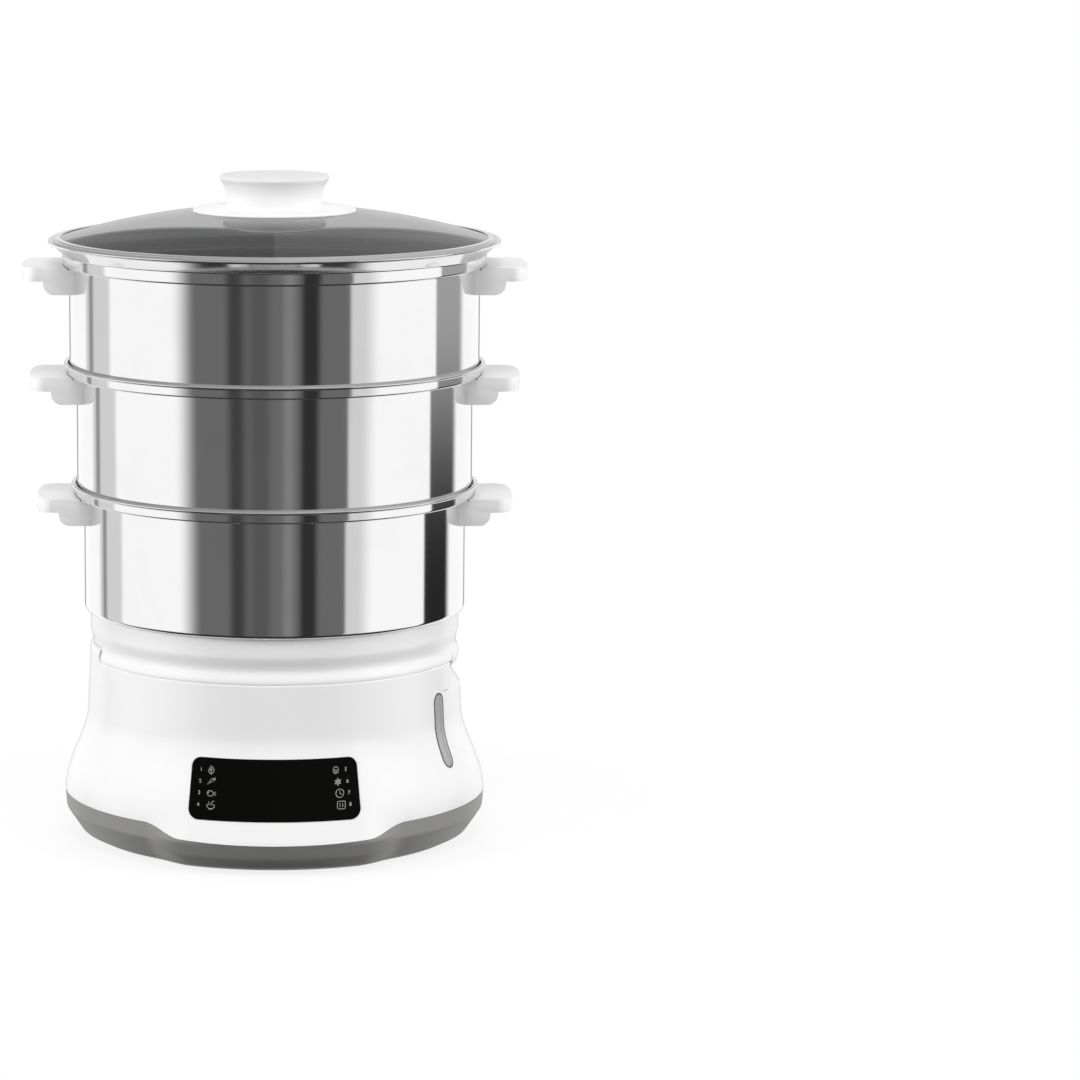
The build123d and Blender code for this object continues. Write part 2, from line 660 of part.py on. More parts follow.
def display_module():
    """Digit display that stands on the control board and reaches up to the panel."""
    radius = front_radius((PANEL_LOW_Z + PANEL_TOP_Z) / 2) - PANEL_THICKNESS
    room = radius - sqrt(radius ** 2 - (DISPLAY_WIDTH / 2) ** 2)
    depth = BOARD_DEPTH * cos(radians(PANEL_SLOPE)) - PANEL_THICKNESS - room - BOARD_THICKNESS / 2 - FIT
    block = Box(DISPLAY_WIDTH, DISPLAY_HEIGHT, depth)
    return board_plane() * Pos(0, 0, (BOARD_THICKNESS + depth) / 2) * block


def ribbon_cable():
    """Flat cable from the back of the control board down to the power board."""
    start = board_plane().from_local_coords(Vector(0, -BOARD_HEIGHT / 3, -BOARD_THICKNESS / 2))
    end_z = PLATE_TOP_Z + STANDOFF_HEIGHT + BOARD_THICKNESS + RIBBON_THICKNESS
    end_y = POWER_BOARD_PLACE_Y - POWER_BOARD_Y / 2 + RIBBON_LAP
    turn_y = start.Y + RIBBON_TURN
    path = FilletPolyline((start.Y, start.Z), (turn_y, start.Z), (turn_y, end_z), (end_y, end_z),
                          radius=RIBBON_BEND_R)
    outline = offset(Wire(path.edges()), amount=RIBBON_THICKNESS, side=Side.RIGHT, closed=True)
    strip = extrude(Plane.YZ * make_face(outline.edges()), RIBBON_WIDTH / 2, both=True)
    return strip - control_board()


# ---------------------------------------------------------------- drip tray


def drip_tray():
    """White tray that catches juices round a steam chimney and carries the small bowl."""
    z = DECK_Z
    foot_r = DECK_R - FIT
    spigot_r = MOUTH_R - LIFT_GAP
    seat_r = SMALL.shoulder_r + LIFT_GAP
    floor = z + TRAY_FLOOR_HEIGHT
    step_z = TRAY_TOP_Z - SHOULDER_DROP - LIFT_GAP
    spigot_z = SMALL.floor_z - LIFT_GAP
    outside = [Line((spigot_r, z - TRAY_SPIGOT), (spigot_r, z)),
               Line((spigot_r, z), (foot_r, z)),
               Spline((foot_r, z), (TRAY_WAIST_R, z + TRAY_WAIST_HEIGHT),
                      (TRAY_RIM_R, z + TRAY_BELLY_HEIGHT), tangents=[(0, 1), (0, 1)]),
               Line((TRAY_RIM_R, z + TRAY_BELLY_HEIGHT), (TRAY_RIM_R, TRAY_TOP_Z))]
    inside = Polyline((TRAY_RIM_R, TRAY_TOP_Z), (seat_r, TRAY_TOP_Z), (seat_r, step_z),
                      (SMALL.spigot_r + LIFT_GAP, spigot_z), (TRAY_TROUGH_R, floor + TRAY_WALL + TRAY_WALL),
                      (TRAY_TROUGH_R, floor + TRAY_WALL), (CHIMNEY_R + TRAY_WALL, floor),
                      (CHIMNEY_R + TRAY_WALL, floor + CHIMNEY_HEIGHT), (CHIMNEY_R, floor + CHIMNEY_HEIGHT),
                      (CHIMNEY_R, floor - TRAY_WALL), (TRAY_TROUGH_R - TRAY_WALL, floor),
                      (spigot_r - TRAY_WALL, z - TRAY_SPIGOT), (spigot_r, z - TRAY_SPIGOT))
    tray = revolve(Plane.XZ * make_face([*outside, *inside.edges()]), Axis.Z, 360)
    notch_half = TAB_HALF_ANGLE + degrees(LIFT_GAP / DECK_R)
    notch = wedge(LEFT, notch_half, FAR, z - LIFT_GAP, TAB_TOP_Z + LIFT_GAP)
    return tray - (notch - drum(spigot_r, z - TRAY_SPIGOT, TRAY_TOP_Z)) + tray_ear()


def tray_ear():
    """Rounded lip on the right of the tray, for a finger to lift it by."""
    low = RECESS_TOP_Z + LIFT_GAP
    top = DECK_Z + EAR_RISE
    outer = ThreePointArc((EAR_LOW_R, low), (EAR_R, (low + top) / 2), (TRAY_WAIST_R - TRAY_WALL / 2, top))
    back_r = MOUTH_R - LIFT_GAP - TRAY_WALL / 2
    frame = Polyline((TRAY_WAIST_R - TRAY_WALL / 2, top), (back_r, top), (back_r, low), (EAR_LOW_R, low))
    ear = revolve(Plane.XZ * make_face([outer, *frame.edges()]), Axis.Z, 360)
    return ear & wedge(RIGHT, EAR_HALF_ANGLE, FAR, low, top)


# ---------------------------------------------------------------- bowls


def bowl_sheet(size):
    """Steel of one bowl: stepped foot that nests in the piece below, tall wall, banded rim."""
    floor, shoulder, step = size.floor_z, size.shoulder_z, size.step_z
    ring_z = shoulder - SHOULDER_DROP
    points = [(PLATE_R - PLATE_LAP, floor), (size.spigot_r, floor), (size.spigot_r, ring_z),
              (size.shoulder_r, ring_z), (size.shoulder_r, shoulder), (size.wall_r, shoulder),
              (size.wall_r, step - SHEET)]
    bends = [BEND_R, LEDGE_BEND_R, BEND_R, LEDGE_BEND_R, SHOULDER_CORNER, LEDGE_BEND_R, BEND_R]
    if size is LARGE:
        bead_z = LARGE_RIM_Z - RIM_BEAD_R
        points += [(LARGE_BAND_R, step - SHEET), (LARGE_BAND_R, FLARE_Z), (LARGE_RIM_R - RIM_BEAD_R, bead_z)]
        bends += [BEND_R]
        bead_r = LARGE_RIM_R - RIM_BEAD_R
    else:
        band_r = size.upper_wall_r + LIFT_GAP + SHEET
        bead_z = step + RIM_RISE - RIM_BEAD_R
        points += [(band_r, step - SHEET), (band_r, bead_z)]
        bead_r = band_r + RIM_FLARE - RIM_BEAD_R
    sheet = turned_sheet(points, SHEET, bends) + Pos(0, 0, bead_z) * Torus(bead_r, RIM_BEAD_R)
    for place in handle_screw_places(size):
        sheet -= screw_hole(place, HANDLE_SCREW_R + FIT, size)
    return sheet


def foot_zone(size):
    """Everything below the seam where a bowl's foot is welded under its shoulder."""
    return drum(FAR, size.floor_z - SHEET, size.shoulder_z - FOOT_SEAM_DROP)


def hole_places():
    """Plan position of every steam hole in a floor plate."""
    places = [(0.0, 0.0)]
    for petal in range(PETALS):
        middle = FRONT + petal * 360 / PETALS
        places.append(at_angle(middle, CENTRE_RING_R))
        for radius, count in PETAL_ROWS:
            turn = degrees(PETAL_PITCH / radius)
            places += [at_angle(middle + (number - (count - 1) / 2) * turn, radius)
                       for number in range(count)]
    return places


def bowl_floor(size):
    """Perforated floor plate, lapped on the bowl's foot."""
    low = size.floor_z + SHEET
    plate = extrude(Pos(0, 0, low) * Circle(PLATE_R), SHEET)
    holes = [Pos(x, y, low) * Circle(HOLE_R) for x, y in hole_places()]
    return plate - extrude(Sketch() + holes, SHEET)


def handle_screw_places(size):
    """Axes of a bowl's handle screws, each with +Z pointing outwards."""
    z = size.step_z - HANDLE_SCREW_DROP
    places = []
    for facing in (RIGHT, LEFT):
        for side in (-1, 1):
            places.append(Rot(0, 0, facing) * Pos(0, side * HANDLE_SCREW_Y, z) * Rot(0, 90, 0))
    return places


def screw_seat(size):
    """Distance from the axis to the underside of a handle screw's head."""
    return sqrt((size.wall_r - SHEET) ** 2 - (HANDLE_SCREW_Y + HANDLE_SCREW_HEAD_R) ** 2)


def screw_hole(place, radius, size):
    """Hole on a handle screw's axis, as deep as the screw is long."""
    seat = screw_seat(size) - HANDLE_SCREW_HEAD
    return place * Pos(0, 0, seat + HANDLE_SCREW_LENGTH / 2) * Cylinder(radius, HANDLE_SCREW_LENGTH + FIT)


def bowl_handle(size, facing):
    """Moulded handle: a flat ear with a rounded tip on a block that hugs the wall."""
    top, tip_r = size.step_z, size.handle_r
    band_r = LARGE_BAND_R if size is LARGE else size.upper_wall_r + LIFT_GAP + SHEET
    root_r = size.wall_r + ROOT_REACH
    start = size.wall_r * cos(asin(HANDLE_HALF_WIDTH / size.wall_r)) - EAR_EDGE
    side_r = tip_r - TIP_BOW
    tip = ThreePointArc((side_r, HANDLE_HALF_WIDTH), (tip_r, 0), (side_r, -HANDLE_HALF_WIDTH))
    back = Polyline((side_r, -HANDLE_HALF_WIDTH), (start, -HANDLE_HALF_WIDTH),
                    (start, HANDLE_HALF_WIDTH), (side_r, HANDLE_HALF_WIDTH))
    plan = make_face([tip, *back.edges()])
    plan = fillet(plan.vertices().group_by(Axis.X)[-1], TIP_CORNER)
    ear = Pos(0, 0, top - EAR_THICKNESS) * extrude(plan, EAR_THICKNESS)
    rounded = [edge for edge in ear.edges() if edge.center().X > start + EAR_EDGE
               and abs(edge.center().Z - top + EAR_THICKNESS / 2) > EAR_THICKNESS / 4]
    ear = fillet(rounded, EAR_EDGE)
    root = Pos((start + root_r) / 2, 0, top - ROOT_HEIGHT / 2)
    root *= Box(root_r - start, 2 * HANDLE_HALF_WIDTH, ROOT_HEIGHT)
    root = fillet(root.edges().filter_by(Axis.Y).group_by(Axis.X)[-1].sort_by(Axis.Z)[:1], ROOT_CORNER)
    handle = ear + root - drum(size.wall_r, top - 2 * ROOT_HEIGHT, top)
    handle -= drum(band_r + FIT, top - SHEET - FIT, top)
    handle = Rot(0, 0, facing) * handle
    for place in handle_screw_places(size):
        handle -= screw_hole(place, HANDLE_SCREW_R, size)
    return handle


def handle_screws(size):
    """Four screws of a bowl, their heads inside against the wall."""
    one = screw(HANDLE_SCREW_R, HANDLE_SCREW_LENGTH, HANDLE_SCREW_HEAD_R, HANDLE_SCREW_HEAD)
    return Compound([place * Pos(0, 0, screw_seat(size) - HANDLE_SCREW_HEAD) * one
                     for place in handle_screw_places(size)])


# ---------------------------------------------------------------- lid


def lid_band():
    """Where the lid's band runs: its outer radius, knee height and lean from upright."""
    band_r = LARGE_BAND_R - SHEET - LIFT_GAP
    lean = atan2(LARGE_RIM_R - RIM_BEAD_R - LARGE_BAND_R, LARGE_RIM_Z - RIM_BEAD_R - FLARE_Z)
    knee_z = FLARE_Z + (SHEET + LIFT_GAP) * tan(lean / 2)
    return band_r, knee_z, lean


def lid_rim():
    """Steel band that plugs into the large bowl and folds over the edge of the glass."""
    band_r, knee_z, lean = lid_band()
    points = [(band_r - LID_FOOT, LARGE.step_z), (band_r, LARGE.step_z), (band_r, knee_z),
              (LID_RIM_R, knee_z + (LID_RIM_R - band_r) / tan(lean)), (LID_RIM_R, LID_TOP_Z),
              (LID_RIM_R - LID_LIP, LID_TOP_Z)]
    return turned_sheet(points, SHEET, [BEND_R, LEDGE_BEND_R, BEND_R, BEND_R])


def glass_edge_r():
    """Radius of the glass, whose edge lies in the lean of the band, inside its upright."""
    band_r, knee_z, lean = lid_band()
    low = LID_TOP_Z - SHEET - GLASS_SINK - GLASS_THICKNESS
    in_lean = band_r + (low - knee_z) * tan(lean) - SHEET / cos(lean) - FIT
    return min(in_lean, LID_RIM_R - SHEET - FIT)


def dome_z(radius):
    """Height of the top of the glass, which meets the fold of the band at its inner edge."""
    lip_r = LID_RIM_R - LID_LIP
    sphere_r = (lip_r ** 2 + GLASS_RISE ** 2) / (2 * GLASS_RISE)
    return LID_TOP_Z - SHEET + GLASS_RISE - sphere_r + sqrt(sphere_r ** 2 - radius ** 2)


def dome_arc(near, far, drop):
    """Arc along the dome between two radii, let down by a depth."""
    return ThreePointArc(*[(radius, dome_z(radius) - drop) for radius in (near, (near + far) / 2, far)])


def lid_glass():
    """Shallow glass dome with a hole for the knob screw."""
    edge_r = glass_edge_r()
    top, low = dome_arc(GLASS_HOLE_R, edge_r, 0), dome_arc(GLASS_HOLE_R, edge_r, GLASS_THICKNESS)
    ends = [Line(top @ 0, low @ 0), Line(top @ 1, low @ 1)]
    return revolve(Plane.XZ * make_face([top, low, *ends]), Axis.Z, 360)


def knob_seat_z():
    """Height where the knob stands on its base disc."""
    return dome_z(KNOB_BASE_R) + KNOB_BASE_TOP


def lid_knob_base():
    """White disc between glass and knob, its underside shaped to the dome."""
    hole_r = LID_SCREW_R + FIT
    under = dome_arc(hole_r, KNOB_BASE_R, 0)
    top = knob_seat_z()
    frame = Polyline(under @ 1, (KNOB_BASE_R, dome_z(KNOB_BASE_R) + KNOB_BASE_EDGE),
                     (KNOB_NECK_R, top), (hole_r, top), under @ 0)
    return revolve(Plane.XZ * make_face([under, *frame.edges()]), Axis.Z, 360)


def lid_knob():
    """Flared white knob, hollow from below round its screw boss."""
    low = knob_seat_z()
    top = low + KNOB_HEIGHT
    neck_z = low + KNOB_NECK_HEIGHT
    lean = (KNOB_TOP_R - KNOB_NECK_R, KNOB_HEIGHT - KNOB_NECK_HEIGHT)
    flare = Spline((KNOB_NECK_R, neck_z), (KNOB_TOP_R, top - KNOB_EDGE), tangents=[(0, 1), lean])
    inset = KNOB_EDGE * (1 - cos(radians(45)))
    edge = ThreePointArc((KNOB_TOP_R, top - KNOB_EDGE), (KNOB_TOP_R - inset, top - inset),
                         (KNOB_TOP_R - KNOB_EDGE, top))
    frame = Polyline((KNOB_TOP_R - KNOB_EDGE, top), (0, top), (0, low), (KNOB_NECK_R, low),
                     (KNOB_NECK_R, neck_z))
    knob = revolve(Plane.XZ * make_face([flare, edge, *frame.edges()]), Axis.Z, 360)
    hollow = drum(KNOB_NECK_R - KNOB_WALL, low, top - KNOB_TOP_WALL)
    knob -= hollow - drum(KNOB_BOSS_R, low, top)
    return knob - drum(LID_SCREW_R, low, lid_screw_top() + FIT)


def lid_washer():
    """Washer under the glass, round the knob screw."""
    top = dome_z(WASHER_R) - GLASS_THICKNESS
    return drum(WASHER_R, top - WASHER_THICKNESS, top) - drum(LID_SCREW_R + FIT, 0, top)


def lid_screw_seat():
    """Height of the underside of the screw head's washer."""
    return dome_z(WASHER_R) - GLASS_THICKNESS - WASHER_THICKNESS


def lid_screw_top():
    """Height of the tip of the knob screw."""
    return lid_screw_seat() - LID_SCREW_HEAD + LID_SCREW_LENGTH


def lid_screw():
    """Screw from under the lid into the knob."""
    one = screw(LID_SCREW_R, LID_SCREW_LENGTH, LID_SCREW_HEAD_R, LID_SCREW_HEAD)
    return Pos(0, 0, lid_screw_seat() - LID_SCREW_HEAD) * one


# ---------------------------------------------------------------- all nodes


def all_nodes():
    """Every node of the steamer by name."""
    wall = base_wall()
    nodes = {
        "base_housing": base_housing(wall), "base_skirt": base_skirt(wall),
        "base_plate": base_plate(), "feet": feet(), "base_screws": base_screws(),
        "water_tank": water_tank(), "heater_plate": heater_plate(),
        "heater_seal": heater_seal(), "heating_element": heating_element(),
        "thermostat": thermostat(), "thermal_fuse": thermal_fuse(),
        "control_panel": control_panel(), "control_board": control_board(),
        "display_module": display_module(), "ribbon_cable": ribbon_cable(),
        "power_board": power_board(), "power_parts": power_parts(),
        "level_window": level_window(), "level_window_seal": level_window_seal(),
        "cord_gland": cord_gland(), "drip_tray": drip_tray(),
        "lid_rim": lid_rim(), "lid_glass": lid_glass(), "lid_knob": lid_knob(),
        "lid_knob_base": lid_knob_base(), "lid_washer": lid_washer(), "lid_screw": lid_screw(),
    }
    for size in BOWLS:
        sheet = bowl_sheet(size)
        nodes[f"bowl_wall_{size.name}"] = sheet - foot_zone(size)
        nodes[f"bowl_foot_{size.name}"] = sheet & foot_zone(size)
        nodes[f"bowl_floor_{size.name}"] = bowl_floor(size)
        nodes[f"handle_right_{size.name}"] = bowl_handle(size, RIGHT)
        nodes[f"handle_left_{size.name}"] = bowl_handle(size, LEFT)
        nodes[f"handle_screws_{size.name}"] = handle_screws(size)
    return nodes


os.makedirs("parts", exist_ok=True)
for node_name, node_shape in all_nodes().items():
    export_step(node_shape, f"parts/{node_name}.step")
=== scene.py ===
"""Looks of a three-tier electric food steamer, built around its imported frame.

Sizes are in millimetres unless a name ends in _M, and MM turns them into Blender's metres.
The table top is z = 0, the panel faces -Y and the handles stand out along X.
Angles are degrees from +X towards +Y, so the front of the steamer is at -90.
"""

import json
from math import asin, atan2, copysign, cos, degrees, hypot, pi, radians, sin, sqrt, tan

import bpy
from mathutils import Matrix, Vector


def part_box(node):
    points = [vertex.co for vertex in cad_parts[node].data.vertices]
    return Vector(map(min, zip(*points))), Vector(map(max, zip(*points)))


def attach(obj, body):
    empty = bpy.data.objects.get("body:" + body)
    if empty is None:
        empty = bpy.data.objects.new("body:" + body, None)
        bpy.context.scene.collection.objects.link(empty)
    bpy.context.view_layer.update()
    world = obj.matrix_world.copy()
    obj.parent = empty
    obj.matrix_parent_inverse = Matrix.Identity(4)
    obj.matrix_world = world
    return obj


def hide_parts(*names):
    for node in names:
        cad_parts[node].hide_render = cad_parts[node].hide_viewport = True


MM = 0.001
WELD = 1e-6
FRONT, RIGHT, LEFT = -90.0, 0.0, 180.0
UPRIGHT = Matrix.Rotation(radians(90), 4, "X")
BASE_STEPS, BOWL_STEPS, KNOB_STEPS = 360, 288, 192

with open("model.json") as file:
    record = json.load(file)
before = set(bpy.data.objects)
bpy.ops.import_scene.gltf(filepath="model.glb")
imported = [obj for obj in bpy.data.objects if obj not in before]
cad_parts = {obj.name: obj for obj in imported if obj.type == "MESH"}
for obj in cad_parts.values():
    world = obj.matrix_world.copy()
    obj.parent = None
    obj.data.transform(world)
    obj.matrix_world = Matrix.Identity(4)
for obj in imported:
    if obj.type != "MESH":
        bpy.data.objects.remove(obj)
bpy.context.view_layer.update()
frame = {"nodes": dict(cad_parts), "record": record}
bpy.ops.object.select_all(action="DESELECT")


def top_of(node):
    """Height of a node's highest point, in millimetres."""
    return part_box(node)[1].z / MM


def foot_of(node):
    """Height of a node's lowest point, in millimetres."""
    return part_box(node)[0].z / MM


# ---------------------------- sizes of the base

UNDERSIDE_Z, UNDERSIDE_R, CHIN_UNDERSIDE_R = 1.5, 112.0, 117.0
FOOT_EDGE_Z, FOOT_EDGE_R, CHIN_FOOT_EDGE_R = 4.5, 118.0, 125.0
FOOT_FLARE, CHIN_FOOT_FLARE = 34.2, 40.8
CREASE_Z, CREASE_BLEND = 17.0, 0.7
WIDEST_Z, WIDEST_R = 27.0, 127.1
WAIST_Z, WAIST_R = 78.0, 113.1
DECK_Z, DECK_R = 110.0, 111.5
CHIN_Z, CHIN_R = 20.0, 134.0
PANEL_SLOPE, BAND_UNDERCUT, CHIN_UNDERCUT = 21.5, 3.4, 22.0
CHIN_HALF_ANGLE, CHIN_FADE_ANGLE = 24.0, 38.0
BLEND = 3.0
WALL = 2.5
MOUTH_R, RIM_DEPTH = 106.5, 6.0
RIM_EDGE, MOUTH_EDGE = 0.45, 0.8
LEDGE_Z, LEDGE_THICKNESS, LEDGE_R = 95.5, 2.5, 103.0
DIP_Z, DIP_CROWN, DIP_HALF_WIDTH, DIP_SHOULDER_X = 21.0, 1.3, 54.0, 77.0
TAB_HALF_ANGLE, TAB_TOP_Z, TAB_CORNER = 20.0, 118.0, 4.0
RECESS_LOW_Z, RECESS_TOP_Z, RECESS_TOP_R = 91.0, 102.5, 105.0
SEAM = 0.25
PARTING_REACH_Z = 60.0
CREASE_SPAN = 1.0
SKIN_ROW, RIM_ROW, FOOT_ROW, SKIRT_ROW, CREASE_ROW = 1.5, 0.5, 0.6, 1.2, 0.25
PARTING_ROUNDS, SKIN_ROUNDS = 3, 6

PANEL_LOW_Z, PANEL_TOP_Z = 33.0, 67.0
PANEL_LOW_WIDTH, PANEL_TOP_WIDTH, PANEL_CORNER = 101.0, 95.0, 5.5
PANEL_PROUD, PANEL_THICKNESS, PANEL_TURN, PANEL_MARGIN = 0.3, 1.6, 60.0, 3.0
POCKET_PROUD, POCKET_MARGIN = 2.0, 4.0
PANEL_CUT_R, PANEL_CUT_REACH = 125.0, 50.0
WINDOW_ANGLE, WINDOW_LOW_Z, WINDOW_TOP_Z, WINDOW_WIDTH, WINDOW_SEAL = -30.0, 52.0, 93.0, 3.2, 0.8
WINDOW_TURN, WINDOW_MARGIN = 12, 5.0
WINDOW_CUT_R, WINDOW_CUT_REACH = 120.0, 25.0
LENS_PROUD, LENS_DEPTH, SEAL_PROUD, SEAL_GAP = 0.05, 10.0, 0.15, 0.01
BEZEL, BEZEL_WIDEN, BEZEL_LINE, TRIM_TURN = 0.9, 2.3, 1.7, 18
BEZEL_PROUD, LINE_PROUD, TRIM_GAP = 0.2, 0.3, 0.02
MARK_X, MARK_Z, MARK_HALF_WIDTH = 102.0, 94.4, 1.6
GLAND_HOLE_R, GLAND_CUT_LENGTH = 7.2, 20.0

# ---------------------------- sizes of the stack

LIFT_GAP = 0.6
SHEET = 0.8
NEST_STEP = 4.05
SHOULDER_WIDTH, SHOULDER_DROP, SHOULDER_RISE, SPIGOT_INSET = 5.4, 8.4, 13.7, 10.2
BEND_R, LEDGE_BEND_R, SHOULDER_CORNER = 1.1, 0.5, 2.5
RIM_RISE, BEAD_R, RIM_FLARE = 7.0, 1.25, 2.0
LARGE_BAND_R, FLARE_RISE, LARGE_RIM_R = 126.4, 6.2, 135.0
PLATE_R, PLATE_LAP = 88.0, 4.0
HANDLE_REACH, HANDLE_HALF_WIDTH, HANDLE_OVERLAP = 28.0, 32.0, 2.0
EAR_THICKNESS, EAR_EDGE, EAR_CORNER, SHARP = 8.0, 2.8, 1.0, 0.01
TIP_BOW, TIP_CORNER = 3.0, 8.0
ROOT_HEIGHT, ROOT_REACH, ROOT_CORNER = 16.0, 14.0, 6.5
PLAN_REACH, CUT_SPARE, HUG_DEPTH, HUG_GAP = 40.0, 5.0, 30.0, 0.02
LID_RIM_R, LID_TOP_RISE, LID_LIP, LID_FOOT = 131.7, 1.1, 4.0, 2.6
GLASS_THICKNESS, GLASS_RISE, GLASS_HOLE_R = 3.0, 18.6, 4.0
DISC_R, DISC_RISE, DISC_EDGE_RISE, DISC_EDGE, DISC_BLEND = 48.6, 3.8, 1.4, 0.9, 6.0
KNOB_NECK_R, KNOB_TOP_R, KNOB_NECK_RISE, KNOB_EDGE, KNOB_HOLE_R = 29.0, 32.8, 6.0, 2.5, 2.6
KNOB_CROWN_R, KNOB_FLARE_STEPS = 2.0, 12

SIZES = {"small": 114.6, "medium": 114.6 + NEST_STEP, "large": 114.6 + 2 * NEST_STEP}

# ---------------------------- outlines


def rounded(corners, radii, steps=6):
    """Outline through the corners as (radius, height) points, each inner corner turned by an arc."""
    outline = [Vector(corners[0])]
    for before, corner, after, radius in zip(corners, corners[1:], corners[2:], radii):
        corner = Vector(corner)
        back = (Vector(before) - corner).normalized()
        ahead = (Vector(after) - corner).normalized()
        half = back.angle(ahead) / 2
        centre = corner + (back + ahead).normalized() * radius / sin(half)
        start = corner + back * radius / tan(half) - centre
        end = corner + ahead * radius / tan(half) - centre
        sweep = pi - 2 * half
        for step in range(steps + 1):
            share = step / steps
            spoke = start * sin((1 - share) * sweep) + end * sin(share * sweep)
            outline.append(centre + spoke / sin(sweep))
    outline.append(Vector(corners[-1]))
    return outline


def arc(centre, radius, start, end, steps=12):
    """Points of an arc between two angles, anticlockwise when the end angle is larger."""
    angles = [radians(start + (end - start) * step / steps) for step in range(steps + 1)]
    return [Vector((centre[0] + radius * cos(a), centre[1] + radius * sin(a))) for a in angles]


def sheet_sides(corners, radii, thickness, steps=6):
    """Outer line of a bent sheet through the corners, and its inner line a thickness to the left."""
    corners = [Vector(corner) for corner in corners]
    runs = [(b - a).normalized() for a, b in zip(corners, corners[1:])]
    lefts = [Vector((-run.y, run.x)) for run in runs]
    inner = [corners[0] + lefts[0] * thickness]
    inner_radii = []
    for corner, one, other, radius in zip(corners[1:], lefts, lefts[1:], radii):
        inner.append(corner + (one + other) * thickness / (1 + one.dot(other)))
        turn = one.x * other.y - one.y * other.x
        inner_radii.append(radius - copysign(thickness, turn))
    inner.append(corners[-1] + lefts[-1] * thickness)
    return rounded(corners, radii, steps), rounded(inner, inner_radii, steps)


def steadied(outline, gap=0.4):
    """Closed outline with points added near the ends of its long runs, which then shade as straight."""
    made = []
    for here, there in zip(outline, outline[1:] + outline[:1]):
        made.append(here)
        run = there - here
        if run.length > 6 * gap:
            made += [here + run.normalized() * gap, there - run.normalized() * gap]
    return made


def with_bead(outer, inner, centre, radius):
    """Closed outline of a sheet whose end is rolled into a bead."""
    centre = Vector(centre)
    run = (outer[-1] - outer[-2]).normalized()
    left = Vector((-run.y, run.x))
    offset = (outer[-1] - centre).dot(left)
    thickness = (inner[-1] - outer[-1]).dot(left)
    inside = min(offset + thickness, radius * 0.97)
    start = left * offset - run * sqrt(radius ** 2 - offset ** 2)
    end = left * inside - run * sqrt(radius ** 2 - inside ** 2)
    start_angle = degrees(atan2(start.y, start.x))
    end_angle = degrees(atan2(end.y, end.x))
    end_angle += 360 if end_angle < start_angle + 90 else 0
    roll = arc(centre, radius, start_angle, end_angle, 20)
    low = min(roll[0].y, roll[-1].y) - SHEET / 2
    inner = [point for point in inner if point.y < low or point.x < roll[-1].x - 4 * radius]
    return outer[:-1] + roll + inner[::-1]


# ---------------------------- meshes


def edit(piece):
    """Opens a piece for edit with all of it selected."""
    bpy.context.view_layer.objects.active = piece
    piece.select_set(True)
    bpy.ops.object.mode_set(mode="EDIT")
    bpy.ops.mesh.select_all(action="SELECT")


def close_edit(piece):
    """Leaves edit mode with nothing selected."""
    bpy.ops.object.mode_set(mode="OBJECT")
    piece.select_set(False)


def edge_chain(name, places):
    """Edges through the given places, left open in edit mode with all of them selected."""
    bpy.ops.mesh.primitive_plane_add(size=MM)
    piece = bpy.context.object
    piece.name = name
    edit(piece)
    bpy.ops.mesh.merge(type="CENTER")
    bpy.ops.transform.translate(value=places[0])
    for here, there in zip(places, places[1:]):
        bpy.ops.mesh.extrude_region_move(TRANSFORM_OT_translate={"value": there - here})
    bpy.ops.mesh.select_all(action="SELECT")
    bpy.ops.mesh.remove_doubles(threshold=WELD)
    return piece


def lathe(name, outline, steps, start=0.0, turn=360.0):
    """Closed outline of (radius, height) points spun about the steamer's axis."""
    heading = Vector((cos(radians(start)), sin(radians(start)), 0))
    places = [(heading * p.x + Vector((0, 0, p.y))) * MM for p in outline]
    piece = edge_chain(name, places + places[:1])
    if turn < 360:
        bpy.ops.mesh.edge_face_add()
    bpy.ops.mesh.spin(steps=steps, angle=-radians(turn), center=(0, 0, 0), axis=(0, 0, 1))
    bpy.ops.mesh.select_all(action="SELECT")
    bpy.ops.mesh.remove_doubles(threshold=WELD)
    bpy.ops.mesh.normals_make_consistent(inside=False)
    close_edit(piece)
    return piece


def prism(name, outline, depth):
    """Closed outline of (x, z) points drawn along Y from -depth to +depth."""
    bpy.ops.mesh.primitive_circle_add(vertices=len(outline), radius=MM, fill_type="NGON")
    piece = bpy.context.object
    piece.name = name
    for vertex, point in zip(piece.data.vertices, outline):
        vertex.co = Vector((point[0], -depth, point[1])) * MM
    edit(piece)
    bpy.ops.mesh.extrude_region_move(TRANSFORM_OT_translate={"value": (0, 2 * depth * MM, 0)})
    bpy.ops.mesh.select_all(action="SELECT")
    bpy.ops.mesh.normals_make_consistent(inside=False)
    close_edit(piece)
    return piece


def place(piece, matrix):
    """Moves a mesh in its own object, which stays at the origin."""
    piece.data.transform(piece.matrix_world)
    piece.matrix_world = Matrix.Identity(4)
    piece.data.transform(matrix)
    return piece


def turned_by(angle, x=0.0, y=0.0, z=0.0):
    """A shift in millimetres, then a turn about Z."""
    return Matrix.Rotation(radians(angle), 4, "Z") @ Matrix.Translation(Vector((x, y, z)) * MM)


def modify(piece, kind, **settings):
    """Adds one modifier and applies it."""
    modifier = piece.modifiers.new(kind.title(), kind)
    for key, value in settings.items():
        setattr(modifier, key, value)
    bpy.context.view_layer.objects.active = piece
    bpy.ops.object.modifier_apply(modifier=modifier.name)
    return piece


def combine(piece, other, operation):
    """Joins, cuts or intersects a piece with another, which is used up."""
    modify(piece, "BOOLEAN", object=other, operation=operation, solver="EXACT")
    bpy.data.objects.remove(other)
    return piece


